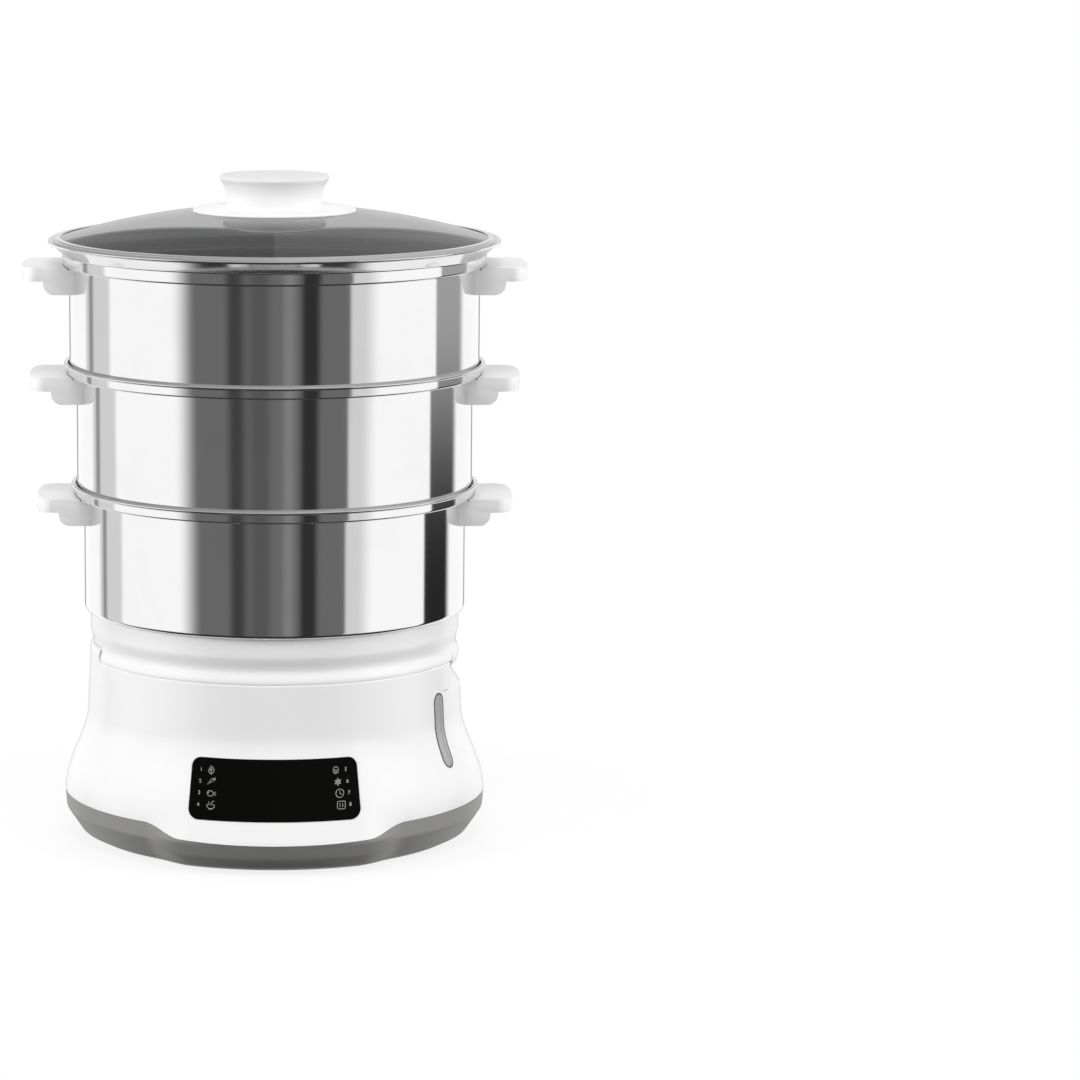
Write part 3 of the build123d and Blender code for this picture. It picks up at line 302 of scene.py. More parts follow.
def finish_piece(piece, body, slot, replaced=(), sharp=35.0, surface=None):
    """Smooths a piece, gives it its slot's look or another surface's, and hands it to its body."""
    bpy.context.view_layer.objects.active = piece
    piece.select_set(True)
    bpy.ops.object.shade_smooth_by_angle(angle=radians(sharp))
    piece.select_set(False)
    piece.data.materials.clear()
    piece.data.materials.append(finish[surface or slot])
    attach(piece, body)
    if replaced:
        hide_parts(*replaced)
    return piece


# ---------------------------- shader expressions


class Socket:
    """An output of a shader node. Python's operators on it add Math nodes."""

    def __init__(self, graph, output):
        self.graph = graph
        self.output = output

    def math(self, operation, *values):
        return self.graph.add("Math", {"operation": operation}, values)

    def __add__(self, other):
        return self.math("ADD", self, other)

    def __sub__(self, other):
        return self.math("SUBTRACT", self, other)

    def __rsub__(self, other):
        return self.math("SUBTRACT", other, self)

    def __mul__(self, other):
        return self.math("MULTIPLY", self, other)

    __radd__ = __add__
    __rmul__ = __mul__

    def __truediv__(self, other):
        return self.math("DIVIDE", self, other)

    def between(self, low, high):
        """Smooth step from 0 at the low value to 1 at the high one."""
        return self.graph.add("MapRange", {"interpolation_type": "SMOOTHSTEP"},
                              {"Value": self, "From Min": low, "From Max": high})

    def other(self, name):
        """Another output of the same node."""
        return Socket(self.graph, self.output.node.outputs[name])


class Graph:
    """The node tree of a material or of the world."""

    def __init__(self, owner):
        owner.use_nodes = True
        self.tree = owner.node_tree
        self.tree.nodes.clear()

    def add(self, kind, settings=None, sockets=()):
        """One shader node, its settings first, then the values or links of its sockets."""
        node = self.tree.nodes.new("ShaderNode" + kind)
        for key, value in (settings or {}).items():
            setattr(node, key, value)
        pairs = sockets.items() if isinstance(sockets, dict) else enumerate(sockets)
        for key, value in pairs:
            if isinstance(value, Socket):
                self.tree.links.new(value.output, node.inputs[key])
            else:
                node.inputs[key].default_value = value
        shown = [output for output in node.outputs if output.enabled]
        return Socket(self, shown[0]) if shown else node


def grey(level, alpha=1.0):
    """A neutral colour."""
    return (level, level, level, alpha)


def make_material(name, build):
    """A material whose surface the build function makes from the graph."""
    material = bpy.data.materials.new(name)
    graph = Graph(material)
    surface = build(graph)
    graph.add("OutputMaterial", {}, {"Surface": surface})
    return material


def object_place(graph):
    """Object coordinates in millimetres."""
    coordinates = graph.add("TexCoord").other("Object")
    return graph.add("VectorMath", {"operation": "SCALE"}, {0: coordinates, "Scale": 1 / MM})


def noise(graph, spread, detail=2.0, stretch=None):
    """Smooth noise whose lumps are about the given size in millimetres."""
    where = object_place(graph)
    if stretch:
        where = graph.add("Mapping", {}, {"Vector": where, "Scale": stretch})
    return graph.add("TexNoise", {}, {"Vector": where, "Scale": 1 / spread, "Detail": detail})


def mix_colour(graph, factor, one, other):
    """Colour between two colours."""
    made = graph.add("Mix", {"data_type": "RGBA"}, {0: factor, 6: one, 7: other})
    return made.other("Result") if made.output.name != "Result" else made


def bump(graph, height, distance_mm, strength=1.0):
    """Normal from a height in millimetres."""
    return graph.add("Bump", {}, {"Strength": strength, "Distance": distance_mm * MM,
                                            "Height": height})


TONE_DRIFT_MM, ROUGHNESS_DRIFT = 45.0, 0.06


def moulded(low, high, roughness, grain_mm=0.6, grain_depth=0.004, coat=0.0, shine=0.5):
    """Moulded plastic: a slow drift of tone and a fine grain."""
    def build(graph):
        drift = noise(graph, TONE_DRIFT_MM, 3.0)
        grain = noise(graph, grain_mm, 2.0)
        tone = mix_colour(graph, drift.between(0.3, 0.7), low, high)
        return graph.add("BsdfPrincipled", {}, {
            "Base Color": tone, "Roughness": drift * ROUGHNESS_DRIFT + (roughness - ROUGHNESS_DRIFT / 2),
            "Coat Weight": coat, "Coat Roughness": 0.08, "Specular IOR Level": shine,
            "Normal": bump(graph, grain, grain_depth)})
    return build


def polished(level, roughness, brush=0.0):
    """Steel polished to a mirror, with faint turning marks round the bowl."""
    def build(graph):
        marks = noise(graph, 1.2, 2.0, (0.02, 0.02, 1.0))
        smudge = noise(graph, 30.0, 4.0)
        return graph.add("BsdfPrincipled", {}, {
            "Base Color": mix_colour(graph, smudge.between(0.3, 0.8), grey(level), grey(level * 0.97)),
            "Metallic": 1.0, "Roughness": smudge * 0.03 + marks * 0.02 + roughness,
            "Normal": bump(graph, marks, 0.0006 + brush)})
    return build


def plain_metal(level, roughness):
    """Satin metal of small inner parts."""
    def build(graph):
        cloud = noise(graph, 6.0, 3.0)
        return graph.add("BsdfPrincipled", {}, {
            "Base Color": mix_colour(graph, cloud, grey(level), grey(level * 0.85)),
            "Metallic": 1.0, "Roughness": cloud * 0.15 + roughness})
    return build


def clear(colour, roughness=0.01):
    """Clear glass or plastic."""
    def build(graph):
        return graph.add("BsdfPrincipled", {}, {
            "Base Color": colour, "Roughness": roughness, "IOR": 1.5, "Transmission Weight": 1.0})
    return build


MATERIALS = {
    "white_shell": moulded(grey(0.86), grey(0.88), 0.30, coat=0.25),
    "white_grip": moulded(grey(0.92), grey(0.94), 0.42),
    # painted shade: the knob's white is a darker copy of the grip's white, standing in for the shade on its
    # sides
    "shaded_white_knob": moulded(grey(0.76), grey(0.78), 0.42),
    "grey_shell": moulded((0.262, 0.259, 0.250, 1), (0.285, 0.282, 0.272, 1), 0.45, 0.35, 0.01),
    "black_panel": moulded((0.002, 0.002, 0.0018, 1), (0.0024, 0.0023, 0.002, 1), 0.10, 5.0, 0.0003,
                           shine=0.06),
    "polished_steel": polished(0.88, 0.045),
    "satin_steel": polished(0.78, 0.16, 0.001),
    # painted shade: the grey tint of the lid glass darkens what is seen through it, standing in for the
    # shade and dark reflections under the lid
    "lid_glass": clear((0.34, 0.345, 0.345, 1)),
    "clear_plastic": moulded(grey(0.40), grey(0.43), 0.25, coat=0.5),
    "dark_seal": moulded(grey(0.33), grey(0.35), 0.4),
    "seal_line": moulded(grey(0.06), grey(0.07), 0.5),
    "foot_rubber": moulded(grey(0.02), grey(0.03), 0.7, 0.5, 0.02),
    "tank_plastic": moulded(grey(0.55), grey(0.60), 0.4),
    "zinc_steel": plain_metal(0.62, 0.25),
    "aluminium_tube": plain_metal(0.66, 0.35),
    "sign_print": moulded(grey(0.42), grey(0.46), 0.5, 0.4, 0.001),
    "circuit_green": moulded((0.01, 0.10, 0.03, 1), (0.02, 0.14, 0.04, 1), 0.35),
    "display_black": moulded(grey(0.008), grey(0.012), 0.15, coat=0.5),
    "part_black": moulded(grey(0.012), grey(0.02), 0.45),
}
finish = {name: make_material(name, build) for name, build in MATERIALS.items()}

for subpart in frame["record"]["subparts"]:
    node = frame["nodes"][subpart["node"]]
    node.data.materials.clear()
    node.data.materials.append(finish[subpart["material_slot"]])

# ---------------------------- form of the base


def side_radius(z):
    """Radius of the body at its sides and back."""
    if z <= WIDEST_Z:
        return WIDEST_R - (WIDEST_Z - z) * tan(radians(BAND_UNDERCUT))
    if z <= WAIST_Z:
        share = (z - WIDEST_Z) / (WAIST_Z - WIDEST_Z)
        return WIDEST_R + (WAIST_R - WIDEST_R) * share * share * (3 - 2 * share)
    return WAIST_R + (DECK_R - WAIST_R) * min((z - WAIST_Z) / (DECK_Z - WAIST_Z), 1)


def larger(one, other, blend):
    """The larger of two lengths, eased from one to the other where they are nearly the same."""
    share = min(max(0.5 + (one - other) / (2 * blend), 0), 1)
    return other + (one - other) * share + blend * share * (1 - share)


def front_radius(z):
    """Radius of the body at the middle of the front, over the chin."""
    if z < CHIN_Z:
        return CHIN_R - (CHIN_Z - z) * tan(radians(CHIN_UNDERCUT))
    return larger(CHIN_R - (z - CHIN_Z) * tan(radians(PANEL_SLOPE)), side_radius(z), BLEND)


def foot_radius(z, edge_r, underside_r, flare):
    """Radius of the flared foot, which is turned under below its edge."""
    if z <= FOOT_EDGE_Z:
        share = (z - UNDERSIDE_Z) / (FOOT_EDGE_Z - UNDERSIDE_Z)
        return underside_r + (edge_r - underside_r) * share
    return edge_r + (z - FOOT_EDGE_Z) * tan(radians(flare))


def outer_radius(angle, z):
    """Radius of the base's skin at an angle and height: the body within the foot's flare."""
    share = (CHIN_FADE_ANGLE - turn_from(angle, FRONT)) / (CHIN_FADE_ANGLE - CHIN_HALF_ANGLE)
    share = min(max(share, 0), 1)
    swell = share * share * (3 - 2 * share)
    body = side_radius(z) + (front_radius(z) - side_radius(z)) * swell
    foot = foot_radius(z, FOOT_EDGE_R, UNDERSIDE_R, FOOT_FLARE)
    foot += (foot_radius(z, CHIN_FOOT_EDGE_R, CHIN_UNDERSIDE_R, CHIN_FOOT_FLARE) - foot) * swell
    return -larger(-body, -foot, CREASE_BLEND)


def parting_z(x, y):
    """Height of the line between housing and skirt, which dips under the panel."""
    if y > 0 or abs(x) >= DIP_SHOULDER_X:
        return WIDEST_Z
    if abs(x) <= DIP_HALF_WIDTH:
        return DIP_Z - DIP_CROWN * (1 - (x / DIP_HALF_WIDTH) ** 2)
    share = (abs(x) - DIP_HALF_WIDTH) / (DIP_SHOULDER_X - DIP_HALF_WIDTH)
    return DIP_Z + (WIDEST_Z - DIP_Z) * share * share * (3 - 2 * share)


def turn_from(angle, middle):
    """Angle away from a middle direction, 0 to 180."""
    return abs((angle - middle + 180) % 360 - 180)


def shape_base(piece, reach_z, edge_z):
    """Gives a spun wall the base's form: heights follow the parting line, radii the swollen skin.

    The shift to the parting line is whole at edge_z and beyond, and fades out towards reach_z.
    """
    for vertex in piece.data.vertices:
        x, y, z = vertex.co / MM
        angle = degrees(atan2(y, x))
        inset = side_radius(z) - hypot(x, y)
        share = min(max((reach_z - z) / (reach_z - edge_z), 0), 1)
        for _ in range(PARTING_ROUNDS):
            radius = outer_radius(angle, z) - inset
            line = parting_z(radius * cos(radians(angle)), y)
            shifted = z + share * (line - WIDEST_Z)
        radius = outer_radius(angle, shifted) - inset
        vertex.co = Vector((radius * cos(radians(angle)),
                            radius * sin(radians(angle)), shifted)) * MM


def rise(start, end, step):
    """Heights from start to end in about even steps."""
    count = max(round(abs(end - start) / step), 1)
    return [start + (end - start) * number / count for number in range(count + 1)]


def skin_line(heights, inset=0.0):
    """Line at an inset from the body's sides, through the given heights."""
    return [Vector((side_radius(z) - inset, z)) for z in heights]


def shell_patch(name, front_inset, back_inset, low, high, start, turn, steps):
    """Part of the base's skin as a shell between two insets, for parts that follow the skin."""
    heights = rise(low, high, SKIN_ROW)
    outline = skin_line(heights, front_inset) + skin_line(heights[::-1], back_inset)
    patch = lathe(name, outline, steps, start, turn)
    for vertex in patch.data.vertices:
        x, y, z = vertex.co / MM
        angle = degrees(atan2(y, x))
        radius = outer_radius(angle, z) - (side_radius(z) - hypot(x, y))
        vertex.co.xy = Vector((cos(radians(angle)), sin(radians(angle)))) * radius * MM
    return patch


def panel_prism(grow):
    """Prism through the front with the panel's outline grown by a margin."""
    low, top = PANEL_LOW_Z - grow, PANEL_TOP_Z + grow
    half_low, half_top = PANEL_LOW_WIDTH / 2 + grow, PANEL_TOP_WIDTH / 2 + grow
    corners = [(0, low), (half_low, low), (half_top, top), (-half_top, top), (-half_low, low), (0, low)]
    outline = rounded(corners, [PANEL_CORNER + grow] * 4, 10)[:-1]
    piece = prism("panel_prism", outline, PANEL_CUT_REACH)
    return place(piece, Matrix.Translation((0, -PANEL_CUT_R * MM, 0)))


def window_prism(grow, widen=0.0):
    """Radial prism with the level window's outline grown by a margin, and widened at its sides."""
    half = WINDOW_WIDTH / 2 + grow + widen
    low, top = WINDOW_LOW_Z + half - grow, WINDOW_TOP_Z - half + grow
    outline = arc((0, top), half, 0, 180, 16) + arc((0, low), half, 180, 360, 16)
    piece = prism("window_prism", outline, WINDOW_CUT_REACH)
    return place(piece, turned_by(WINDOW_ANGLE + 90, 0, -WINDOW_CUT_R))


def panel_patch(name, proud, margin, steps):
    """Shell from a height proud of the skin to the panel's back, a margin larger than the panel."""
    return shell_patch(name, -proud, PANEL_THICKNESS, PANEL_LOW_Z - margin, PANEL_TOP_Z + margin,
                       FRONT - PANEL_TURN / 2, PANEL_TURN, steps)


def window_patch(name, front_inset, back_inset, turn):
    """Shell between two insets of the skin, round the level window."""
    return shell_patch(name, front_inset, back_inset, WINDOW_LOW_Z - WINDOW_MARGIN,
                       WINDOW_TOP_Z + WINDOW_MARGIN, WINDOW_ANGLE - turn / 2, turn, 2 * turn)


def merge_doubles(piece):
    """Merges the vertices that lie on each other, and turns all faces outward."""
    edit(piece)
    bpy.ops.mesh.remove_doubles(threshold=WELD)
    bpy.ops.mesh.dissolve_degenerate(threshold=WELD)
    bpy.ops.mesh.select_all(action="SELECT")
    bpy.ops.mesh.normals_make_consistent(inside=False)
    close_edit(piece)


def make_housing():
    """White upper shell with its rim, ledge, tab, finger recess, panel seat and window slot."""
    rim_z, ledge_top = DECK_Z - RIM_DEPTH, LEDGE_Z + LEDGE_THICKNESS
    outer = skin_line(rise(WIDEST_Z, RECESS_LOW_Z, SKIN_ROW))
    outer += skin_line(rise(RECESS_LOW_Z, DECK_Z - RIM_ROW, RIM_ROW)[1:])
    rim = rounded([(DECK_R, DECK_Z - RIM_ROW), (DECK_R, DECK_Z), (MOUTH_R, DECK_Z), (MOUTH_R, rim_z)],
                  [RIM_EDGE, MOUTH_EDGE], 4)[1:-1]
    inside = [Vector((MOUTH_R, z)) for z in rise(DECK_Z - 2 * RIM_ROW, rim_z, RIM_ROW)]
    inside += skin_line([rim_z, ledge_top], WALL)
    inside += [Vector((LEDGE_R, ledge_top)), Vector((LEDGE_R, LEDGE_Z))]
    inside += skin_line(rise(WIDEST_Z, LEDGE_Z, 2 * SKIN_ROW)[::-1], WALL)
    housing = lathe("housing", outer + rim + inside, BASE_STEPS)
    shape_base(housing, PARTING_REACH_Z, WIDEST_Z)
    shape_tab_and_recess(housing, rim_z)
    merge_doubles(housing)
    pocket = panel_patch("pocket", POCKET_PROUD, POCKET_MARGIN, 60)
    combine(pocket, panel_prism(SEAM), "INTERSECT")
    combine(housing, pocket, "DIFFERENCE")
    combine(housing, window_prism(WINDOW_SEAL), "DIFFERENCE")
    return finish_piece(housing, "base", "white_shell", ["base_housing"], 30)


def shape_tab_and_recess(housing, rim_z):
    """Raises the rim into the locating tab on the left and sinks the finger recess on the right."""
    slant = (side_radius(RECESS_LOW_Z) - RECESS_TOP_R) / (RECESS_TOP_Z - RECESS_LOW_Z)
    for vertex in housing.data.vertices:
        x, y, z = vertex.co / MM
        radius = hypot(x, y)
        angle = degrees(atan2(y, x))
        if turn_from(angle, LEFT) <= TAB_HALF_ANGLE and z > rim_z:
            z = rim_z + (z - rim_z) * (TAB_TOP_Z - rim_z) / RIM_DEPTH
            over = z - (TAB_TOP_Z - TAB_CORNER)
            if over > 0:
                limit = DECK_R - TAB_CORNER + sqrt(max(TAB_CORNER ** 2 - over ** 2, 0))
                radius = min(radius, limit)
        if turn_from(angle, RIGHT) <= TAB_HALF_ANGLE and z > RECESS_LOW_Z:
            skin = side_radius(RECESS_LOW_Z) - slant * (z - RECESS_LOW_Z)
            inner = radius < side_radius(min(z, DECK_Z)) - WALL / 2
            if z > RECESS_TOP_Z:
                z, skin = RECESS_TOP_Z, RECESS_TOP_R
            radius = min(radius, skin - WALL if inner else skin)
        vertex.co = Vector((radius * cos(radians(angle)),
                            radius * sin(radians(angle)), z)) * MM


def make_skirt():
    """Grey lower skirt, open above, with the hole for the cord inlet."""
    heights = rise(UNDERSIDE_Z, FOOT_EDGE_Z, FOOT_ROW)
    heights += rise(FOOT_EDGE_Z, CREASE_Z - CREASE_SPAN, SKIRT_ROW)[1:]
    heights += rise(CREASE_Z - CREASE_SPAN, CREASE_Z + CREASE_SPAN, CREASE_ROW)[1:]
    heights += rise(CREASE_Z + CREASE_SPAN, WIDEST_Z - SEAM, SKIRT_ROW)[1:]
    skirt = lathe("skirt", skin_line(heights) + skin_line(heights[::-1], WALL), BASE_STEPS)
    shape_base(skirt, FOOT_EDGE_Z, CREASE_Z)
    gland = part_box("cord_gland")
    bpy.ops.mesh.primitive_cylinder_add(vertices=48, radius=GLAND_HOLE_R * MM, depth=GLAND_CUT_LENGTH * MM)
    hole = bpy.context.object
    middle = Vector((0, gland[1].y - 2 * WALL * MM, (gland[0].z + gland[1].z) / 2))
    place(hole, Matrix.Translation(middle) @ UPRIGHT)
    combine(skirt, hole, "DIFFERENCE")
    return finish_piece(skirt, "base", "grey_shell", ["base_skirt"], 40)


def make_panel():
    """Black touch panel that follows the skin, just proud of it."""
    panel = panel_patch("panel", PANEL_PROUD, PANEL_MARGIN, 120)
    combine(panel, panel_prism(0), "INTERSECT")
    return finish_piece(panel, "base", "black_panel", ["control_panel"], 30)


# ---------------------------- print on the panel

PRINT_HEIGHT, STROKE_WIDTH, NUMERAL_SIZE = 0.06, 0.26, 2.9
SIGN_ROWS = (60.5, 54.0, 47.7, 41.2)
LEFT_NUMERALS, LEFT_SIGNS = (-42.7, -43.3, -43.9, -44.5), (-36.9, -36.9, -36.9, -37.2)
RIGHT_NUMERALS, RIGHT_SIGNS = (41.5, 42.5, 43.4, 44.2), (35.7, 36.9, 38.0, 38.9)


def skin_y(x, z):
    """Depth of the base's skin behind the point at x and z of the front."""
    y = -sqrt(CHIN_R ** 2 - x ** 2)
    for _ in range(SKIN_ROUNDS):
        radius = outer_radius(degrees(atan2(y, x)), z)
        y = -sqrt(radius ** 2 - x ** 2)
    return y


def stroke(name, points):
    """Line of even width through (x, z) points, raised as high as print."""
    piece = edge_chain(name, [Vector((x, 0, z)) * MM for x, z in points])
    bpy.ops.mesh.extrude_region_move(TRANSFORM_OT_translate={"value": (0, PRINT_HEIGHT * MM, 0)})
    close_edit(piece)
    return modify(piece, "SOLIDIFY", thickness=STROKE_WIDTH * MM, offset=0)


def numeral(name, text, x, z):
    """A numeral as raised print, its middle at x and z."""
    bpy.ops.object.text_add()
    piece = bpy.context.object
    piece.data.body, piece.data.size = text, NUMERAL_SIZE * MM
    piece.data.align_x, piece.data.align_y = "CENTER", "CENTER"
    piece.data.extrude = PRINT_HEIGHT / 2 * MM
    piece.select_set(True)
    bpy.ops.object.convert(target="MESH")
    piece.select_set(False)
    piece.name = name
    return place(piece, Matrix.Translation(Vector((x, PRINT_HEIGHT / 2, z)) * MM) @ UPRIGHT)


def ring(radius, start=0.0, end=360.0, steps=20, wide=1.0, x=0.0, z=0.0):
    """Arc of an upright circle or oval as (x, z) points."""
    angles = [radians(start + (end - start) * step / steps) for step in range(steps + 1)]
    return [(x + radius * wide * cos(a), z + radius * sin(a)) for a in angles]


def spoke(radius, angle):
    """Point of a picture at a distance and direction from its middle."""
    return radius * cos(radians(angle)), radius * sin(radians(angle))


LEAF = (ring(2.2, 200, 380, 12, 0.75, 0.0, 0.2) + [(0.0, 2.3)] + ring(2.2, 200, 200, 1, 0.75, 0.0, 0.2),
        [(0.0, 1.2), (0.0, -2.6)], [(0.0, -0.2), (0.9, 0.6)], [(0.0, -0.2), (-0.9, 0.6)])
CARROT = ([(-2.4, -1.6), (0.6, 1.9), (1.7, 0.8), (-2.4, -1.6)],
          [(1.2, 1.4), (2.5, 2.4)], [(1.2, 1.4), (2.7, 1.3)], [(-0.9, 0.1), (-0.2, -0.4)])
FISH = (ring(2.6, 25, 155, 10, 0.85, -0.5, -1.1) + ring(2.6, 205, 335, 10, 0.85, -0.5, 1.1),
        [(1.4, 0.0), (2.7, 1.1), (2.7, -1.1), (1.4, 0.0)], ring(0.25, 0, 360, 6, 1.0, -1.7, 0.25))
BOWL = (ring(2.3, 180, 360, 14, 1.0, 0.0, 0.3) + [(-2.3, 0.3)], [(0.2, 0.9), (1.9, 2.6)],
        [(-1.1, 0.9), (-1.1, 1.9)], [(-1.0, -2.1), (1.0, -2.1)])
EGG = (ring(2.1, 0, 180, 12, 0.72, 0.0, -0.2) + ring(1.7, 180, 360, 12, 0.89, 0.0, -0.2),
       ring(0.75, 0, 360, 12, 1.0, 0.0, -0.5))
FROST = tuple([spoke(2.2, a), spoke(-2.2, a)] for a in (30, 90, 150))
FROST += tuple([spoke(1.5, a - 22), spoke(0.9, a), spoke(1.5, a + 22)] for a in range(30, 360, 60))
CLOCK = (ring(2.3), [(0.0, 1.4), (0.0, 0.0), (1.1, -0.7)])
STEAM = (ring(0.9, 0, 90, 5, 1.0, 1.4, 1.2) + ring(0.9, 90, 180, 5, 1.0, -1.4, 1.2)
         + ring(0.9, 180, 270, 5, 1.0, -1.4, -1.2) + ring(0.9, 270, 360, 5, 1.0, 1.4, -1.2) + [(2.3, 1.2)],
         [(-0.9, -1.0), (-0.6, -0.3), (-1.0, 0.3), (-0.7, 1.0)],
         [(0.7, -1.0), (1.0, -0.3), (0.6, 0.3), (0.9, 1.0)])


def make_signs():
    """Printed numerals and small pictures of the touch fields, laid on the panel."""
    made = []
    fields = list(zip(LEFT_NUMERALS, LEFT_SIGNS, (LEAF, CARROT, FISH, BOWL)))
    fields += list(zip(RIGHT_NUMERALS, RIGHT_SIGNS, (EGG, FROST, CLOCK, STEAM)))
    for number, (numeral_x, sign_x, picture) in enumerate(fields):
        z = SIGN_ROWS[number % 4]
        made.append(numeral(f"numeral_{number + 1}", str(number + 1), numeral_x, z))
        for part, points in enumerate(picture):
            shifted = [(x + sign_x, height + z) for x, height in points]
            made.append(stroke(f"sign_{number + 1}_{part}", shifted))
    for piece in made:
        piece.select_set(True)
    bpy.context.view_layer.objects.active = made[0]
    bpy.ops.object.join()
    signs = bpy.context.object
    signs.select_set(False)
    signs.name = "panel_signs"
    lay_on_skin(signs, PANEL_PROUD)
    return finish_piece(signs, "base", "black_panel", surface="sign_print")


def lay_on_skin(piece, proud):
    """Lays flat print, made upright at y = 0, on the skin of the base."""
    for vertex in piece.data.vertices:
        x, y, z = vertex.co / MM
        vertex.co.y = (skin_y(x, z) - proud - PRINT_HEIGHT + y) * MM


def make_window():
    """Level window with its gasket, the bezel and dark line round it, and the level mark."""
    lens = window_patch("window", -LENS_PROUD, LENS_DEPTH, WINDOW_TURN)
    combine(lens, window_prism(0), "INTERSECT")
    finish_piece(lens, "base", "clear_plastic", ["level_window"], 30)
    seal = window_patch("window_seal", -SEAL_PROUD, WALL, WINDOW_TURN)
    combine(seal, window_prism(WINDOW_SEAL), "INTERSECT")
    combine(seal, window_prism(SEAL_GAP), "DIFFERENCE")
    finish_piece(seal, "base", "dark_seal", ["level_window_seal"], 30)
    hole, bezel, line = (WINDOW_SEAL, 0.0), (BEZEL, BEZEL_WIDEN), (BEZEL_LINE, BEZEL_WIDEN)
    for name, inner, outer, proud, surface in (
            ("window_bezel", hole, bezel, BEZEL_PROUD, "clear_plastic"),
            ("window_line", bezel, line, LINE_PROUD, "seal_line")):
        trim = window_patch(name, -proud, -TRIM_GAP, TRIM_TURN)
        combine(trim, window_prism(*outer), "INTERSECT")
        combine(trim, window_prism(*inner), "DIFFERENCE")
        finish_piece(trim, "base", "dark_seal", (), 30, surface)
    ends = (MARK_X - MARK_HALF_WIDTH, MARK_X, MARK_X + MARK_HALF_WIDTH)
    mark = stroke("level_mark", [(x, MARK_Z) for x in ends])
    lay_on_skin(mark, 0.0)
    finish_piece(mark, "base", "dark_seal", surface="seal_line")


# ---------------------------- drip tray

TRAY_HEIGHT, TRAY_RIM_R, TRAY_TROUGH_R, TRAY_WAIST_R = 27.5, 111.2, 102.8, 108.0
TRAY_WAIST_HEIGHT, TRAY_BELLY_HEIGHT, TRAY_WALL, TRAY_SPIGOT = 8.0, 17.0, 2.0, 4.0
TRAY_FLOOR_HEIGHT, CHIMNEY_R, CHIMNEY_HEIGHT = 4.0, 27.0, 7.5
EAR_HALF_ANGLE, EAR_R, EAR_LOW_R, EAR_RISE = 17.0, 111.5, 105.6, 8.5
WAIST_SOFTENED = 1.6
TRAY_FOOT_RISE, TRAY_RIM_RUN = 1.2, 1.0
TRAY_SPIGOT_EDGE, TRAY_FOOT_EDGE, TRAY_RIM_EDGE = 0.2, 0.5, 0.4
NOTCH_REACH = 9.0
FIT = 0.2


def ease(start, end, steps=10):
    """Upright-ended curve between two (radius, height) points."""
    made = []
    for step in range(steps + 1):
        share = step / steps
        radius = start[0] + (end[0] - start[0]) * share * share * (3 - 2 * share)
        made.append(Vector((radius, start[1] + (end[1] - start[1]) * share)))
    return made


def make_tray():
    """White drip tray with its trough, steam chimney, notch for the tab and finger ear."""
    z = DECK_Z
    small_r = SIZES["small"]
    top = z + TRAY_HEIGHT
    foot_r, spigot_r = DECK_R - FIT, MOUTH_R - LIFT_GAP
    seat_r = small_r - SHOULDER_WIDTH + LIFT_GAP
    floor = z + TRAY_FLOOR_HEIGHT
    waist = (TRAY_WAIST_R + WAIST_SOFTENED, z + TRAY_WAIST_HEIGHT)
    outer = rounded([(spigot_r, z - TRAY_SPIGOT), (spigot_r, z), (foot_r, z), (foot_r, z + TRAY_FOOT_RISE)],
                    [TRAY_SPIGOT_EDGE, TRAY_FOOT_EDGE], 3)
    outer += ease((foot_r, z + TRAY_FOOT_RISE), waist, 16)[1:]
    outer += ease(waist, (TRAY_RIM_R, z + TRAY_BELLY_HEIGHT), 18)[1:]
    outer += rounded([(TRAY_RIM_R, z + TRAY_BELLY_HEIGHT + TRAY_RIM_RUN), (TRAY_RIM_R, top), (seat_r, top),
                      (seat_r, top - SHOULDER_DROP - LIFT_GAP)], [TRAY_RIM_EDGE, TRAY_RIM_EDGE], 3)[:-1]
    inside = [(seat_r, top - SHOULDER_DROP - LIFT_GAP),
              (small_r - SPIGOT_INSET + LIFT_GAP, foot_of("bowl_foot_small") - LIFT_GAP),
              (TRAY_TROUGH_R, floor + 2 * TRAY_WALL), (TRAY_TROUGH_R, floor + TRAY_WALL),
              (CHIMNEY_R + TRAY_WALL, floor), (CHIMNEY_R + TRAY_WALL, floor + CHIMNEY_HEIGHT),
              (CHIMNEY_R, floor + CHIMNEY_HEIGHT), (CHIMNEY_R, floor - TRAY_WALL),
              (TRAY_TROUGH_R - TRAY_WALL, floor), (spigot_r - TRAY_WALL, z - TRAY_SPIGOT)]
    tray = lathe("tray", steadied(outer + [Vector(point) for point in inside]), BASE_STEPS)
    notch_half = TAB_HALF_ANGLE + degrees(LIFT_GAP / DECK_R)
    notch_r, notch_low, notch_top = DECK_R + NOTCH_REACH, z - LIFT_GAP, TAB_TOP_Z + LIFT_GAP
    notch = [Vector(p) for p in ((spigot_r, notch_low), (notch_r, notch_low),
                                 (notch_r, notch_top), (spigot_r, notch_top))]
    combine(tray, lathe("notch", notch, 41, LEFT - notch_half, 2 * notch_half), "DIFFERENCE")
    low, high = RECESS_TOP_Z + LIFT_GAP, z + EAR_RISE
    ear_top_r, ear_back_r = TRAY_WAIST_R - TRAY_WALL / 2, spigot_r - TRAY_WALL / 2
    ear = bulge((EAR_LOW_R, low), (EAR_R, (low + high) / 2), (ear_top_r, high))
    ear += [Vector((ear_back_r, high)), Vector((ear_back_r, low))]
    combine(tray, lathe("ear", ear, 34, RIGHT - EAR_HALF_ANGLE, 2 * EAR_HALF_ANGLE), "UNION")
    return finish_piece(tray, "drip_tray", "white_shell", ["drip_tray"], 30)


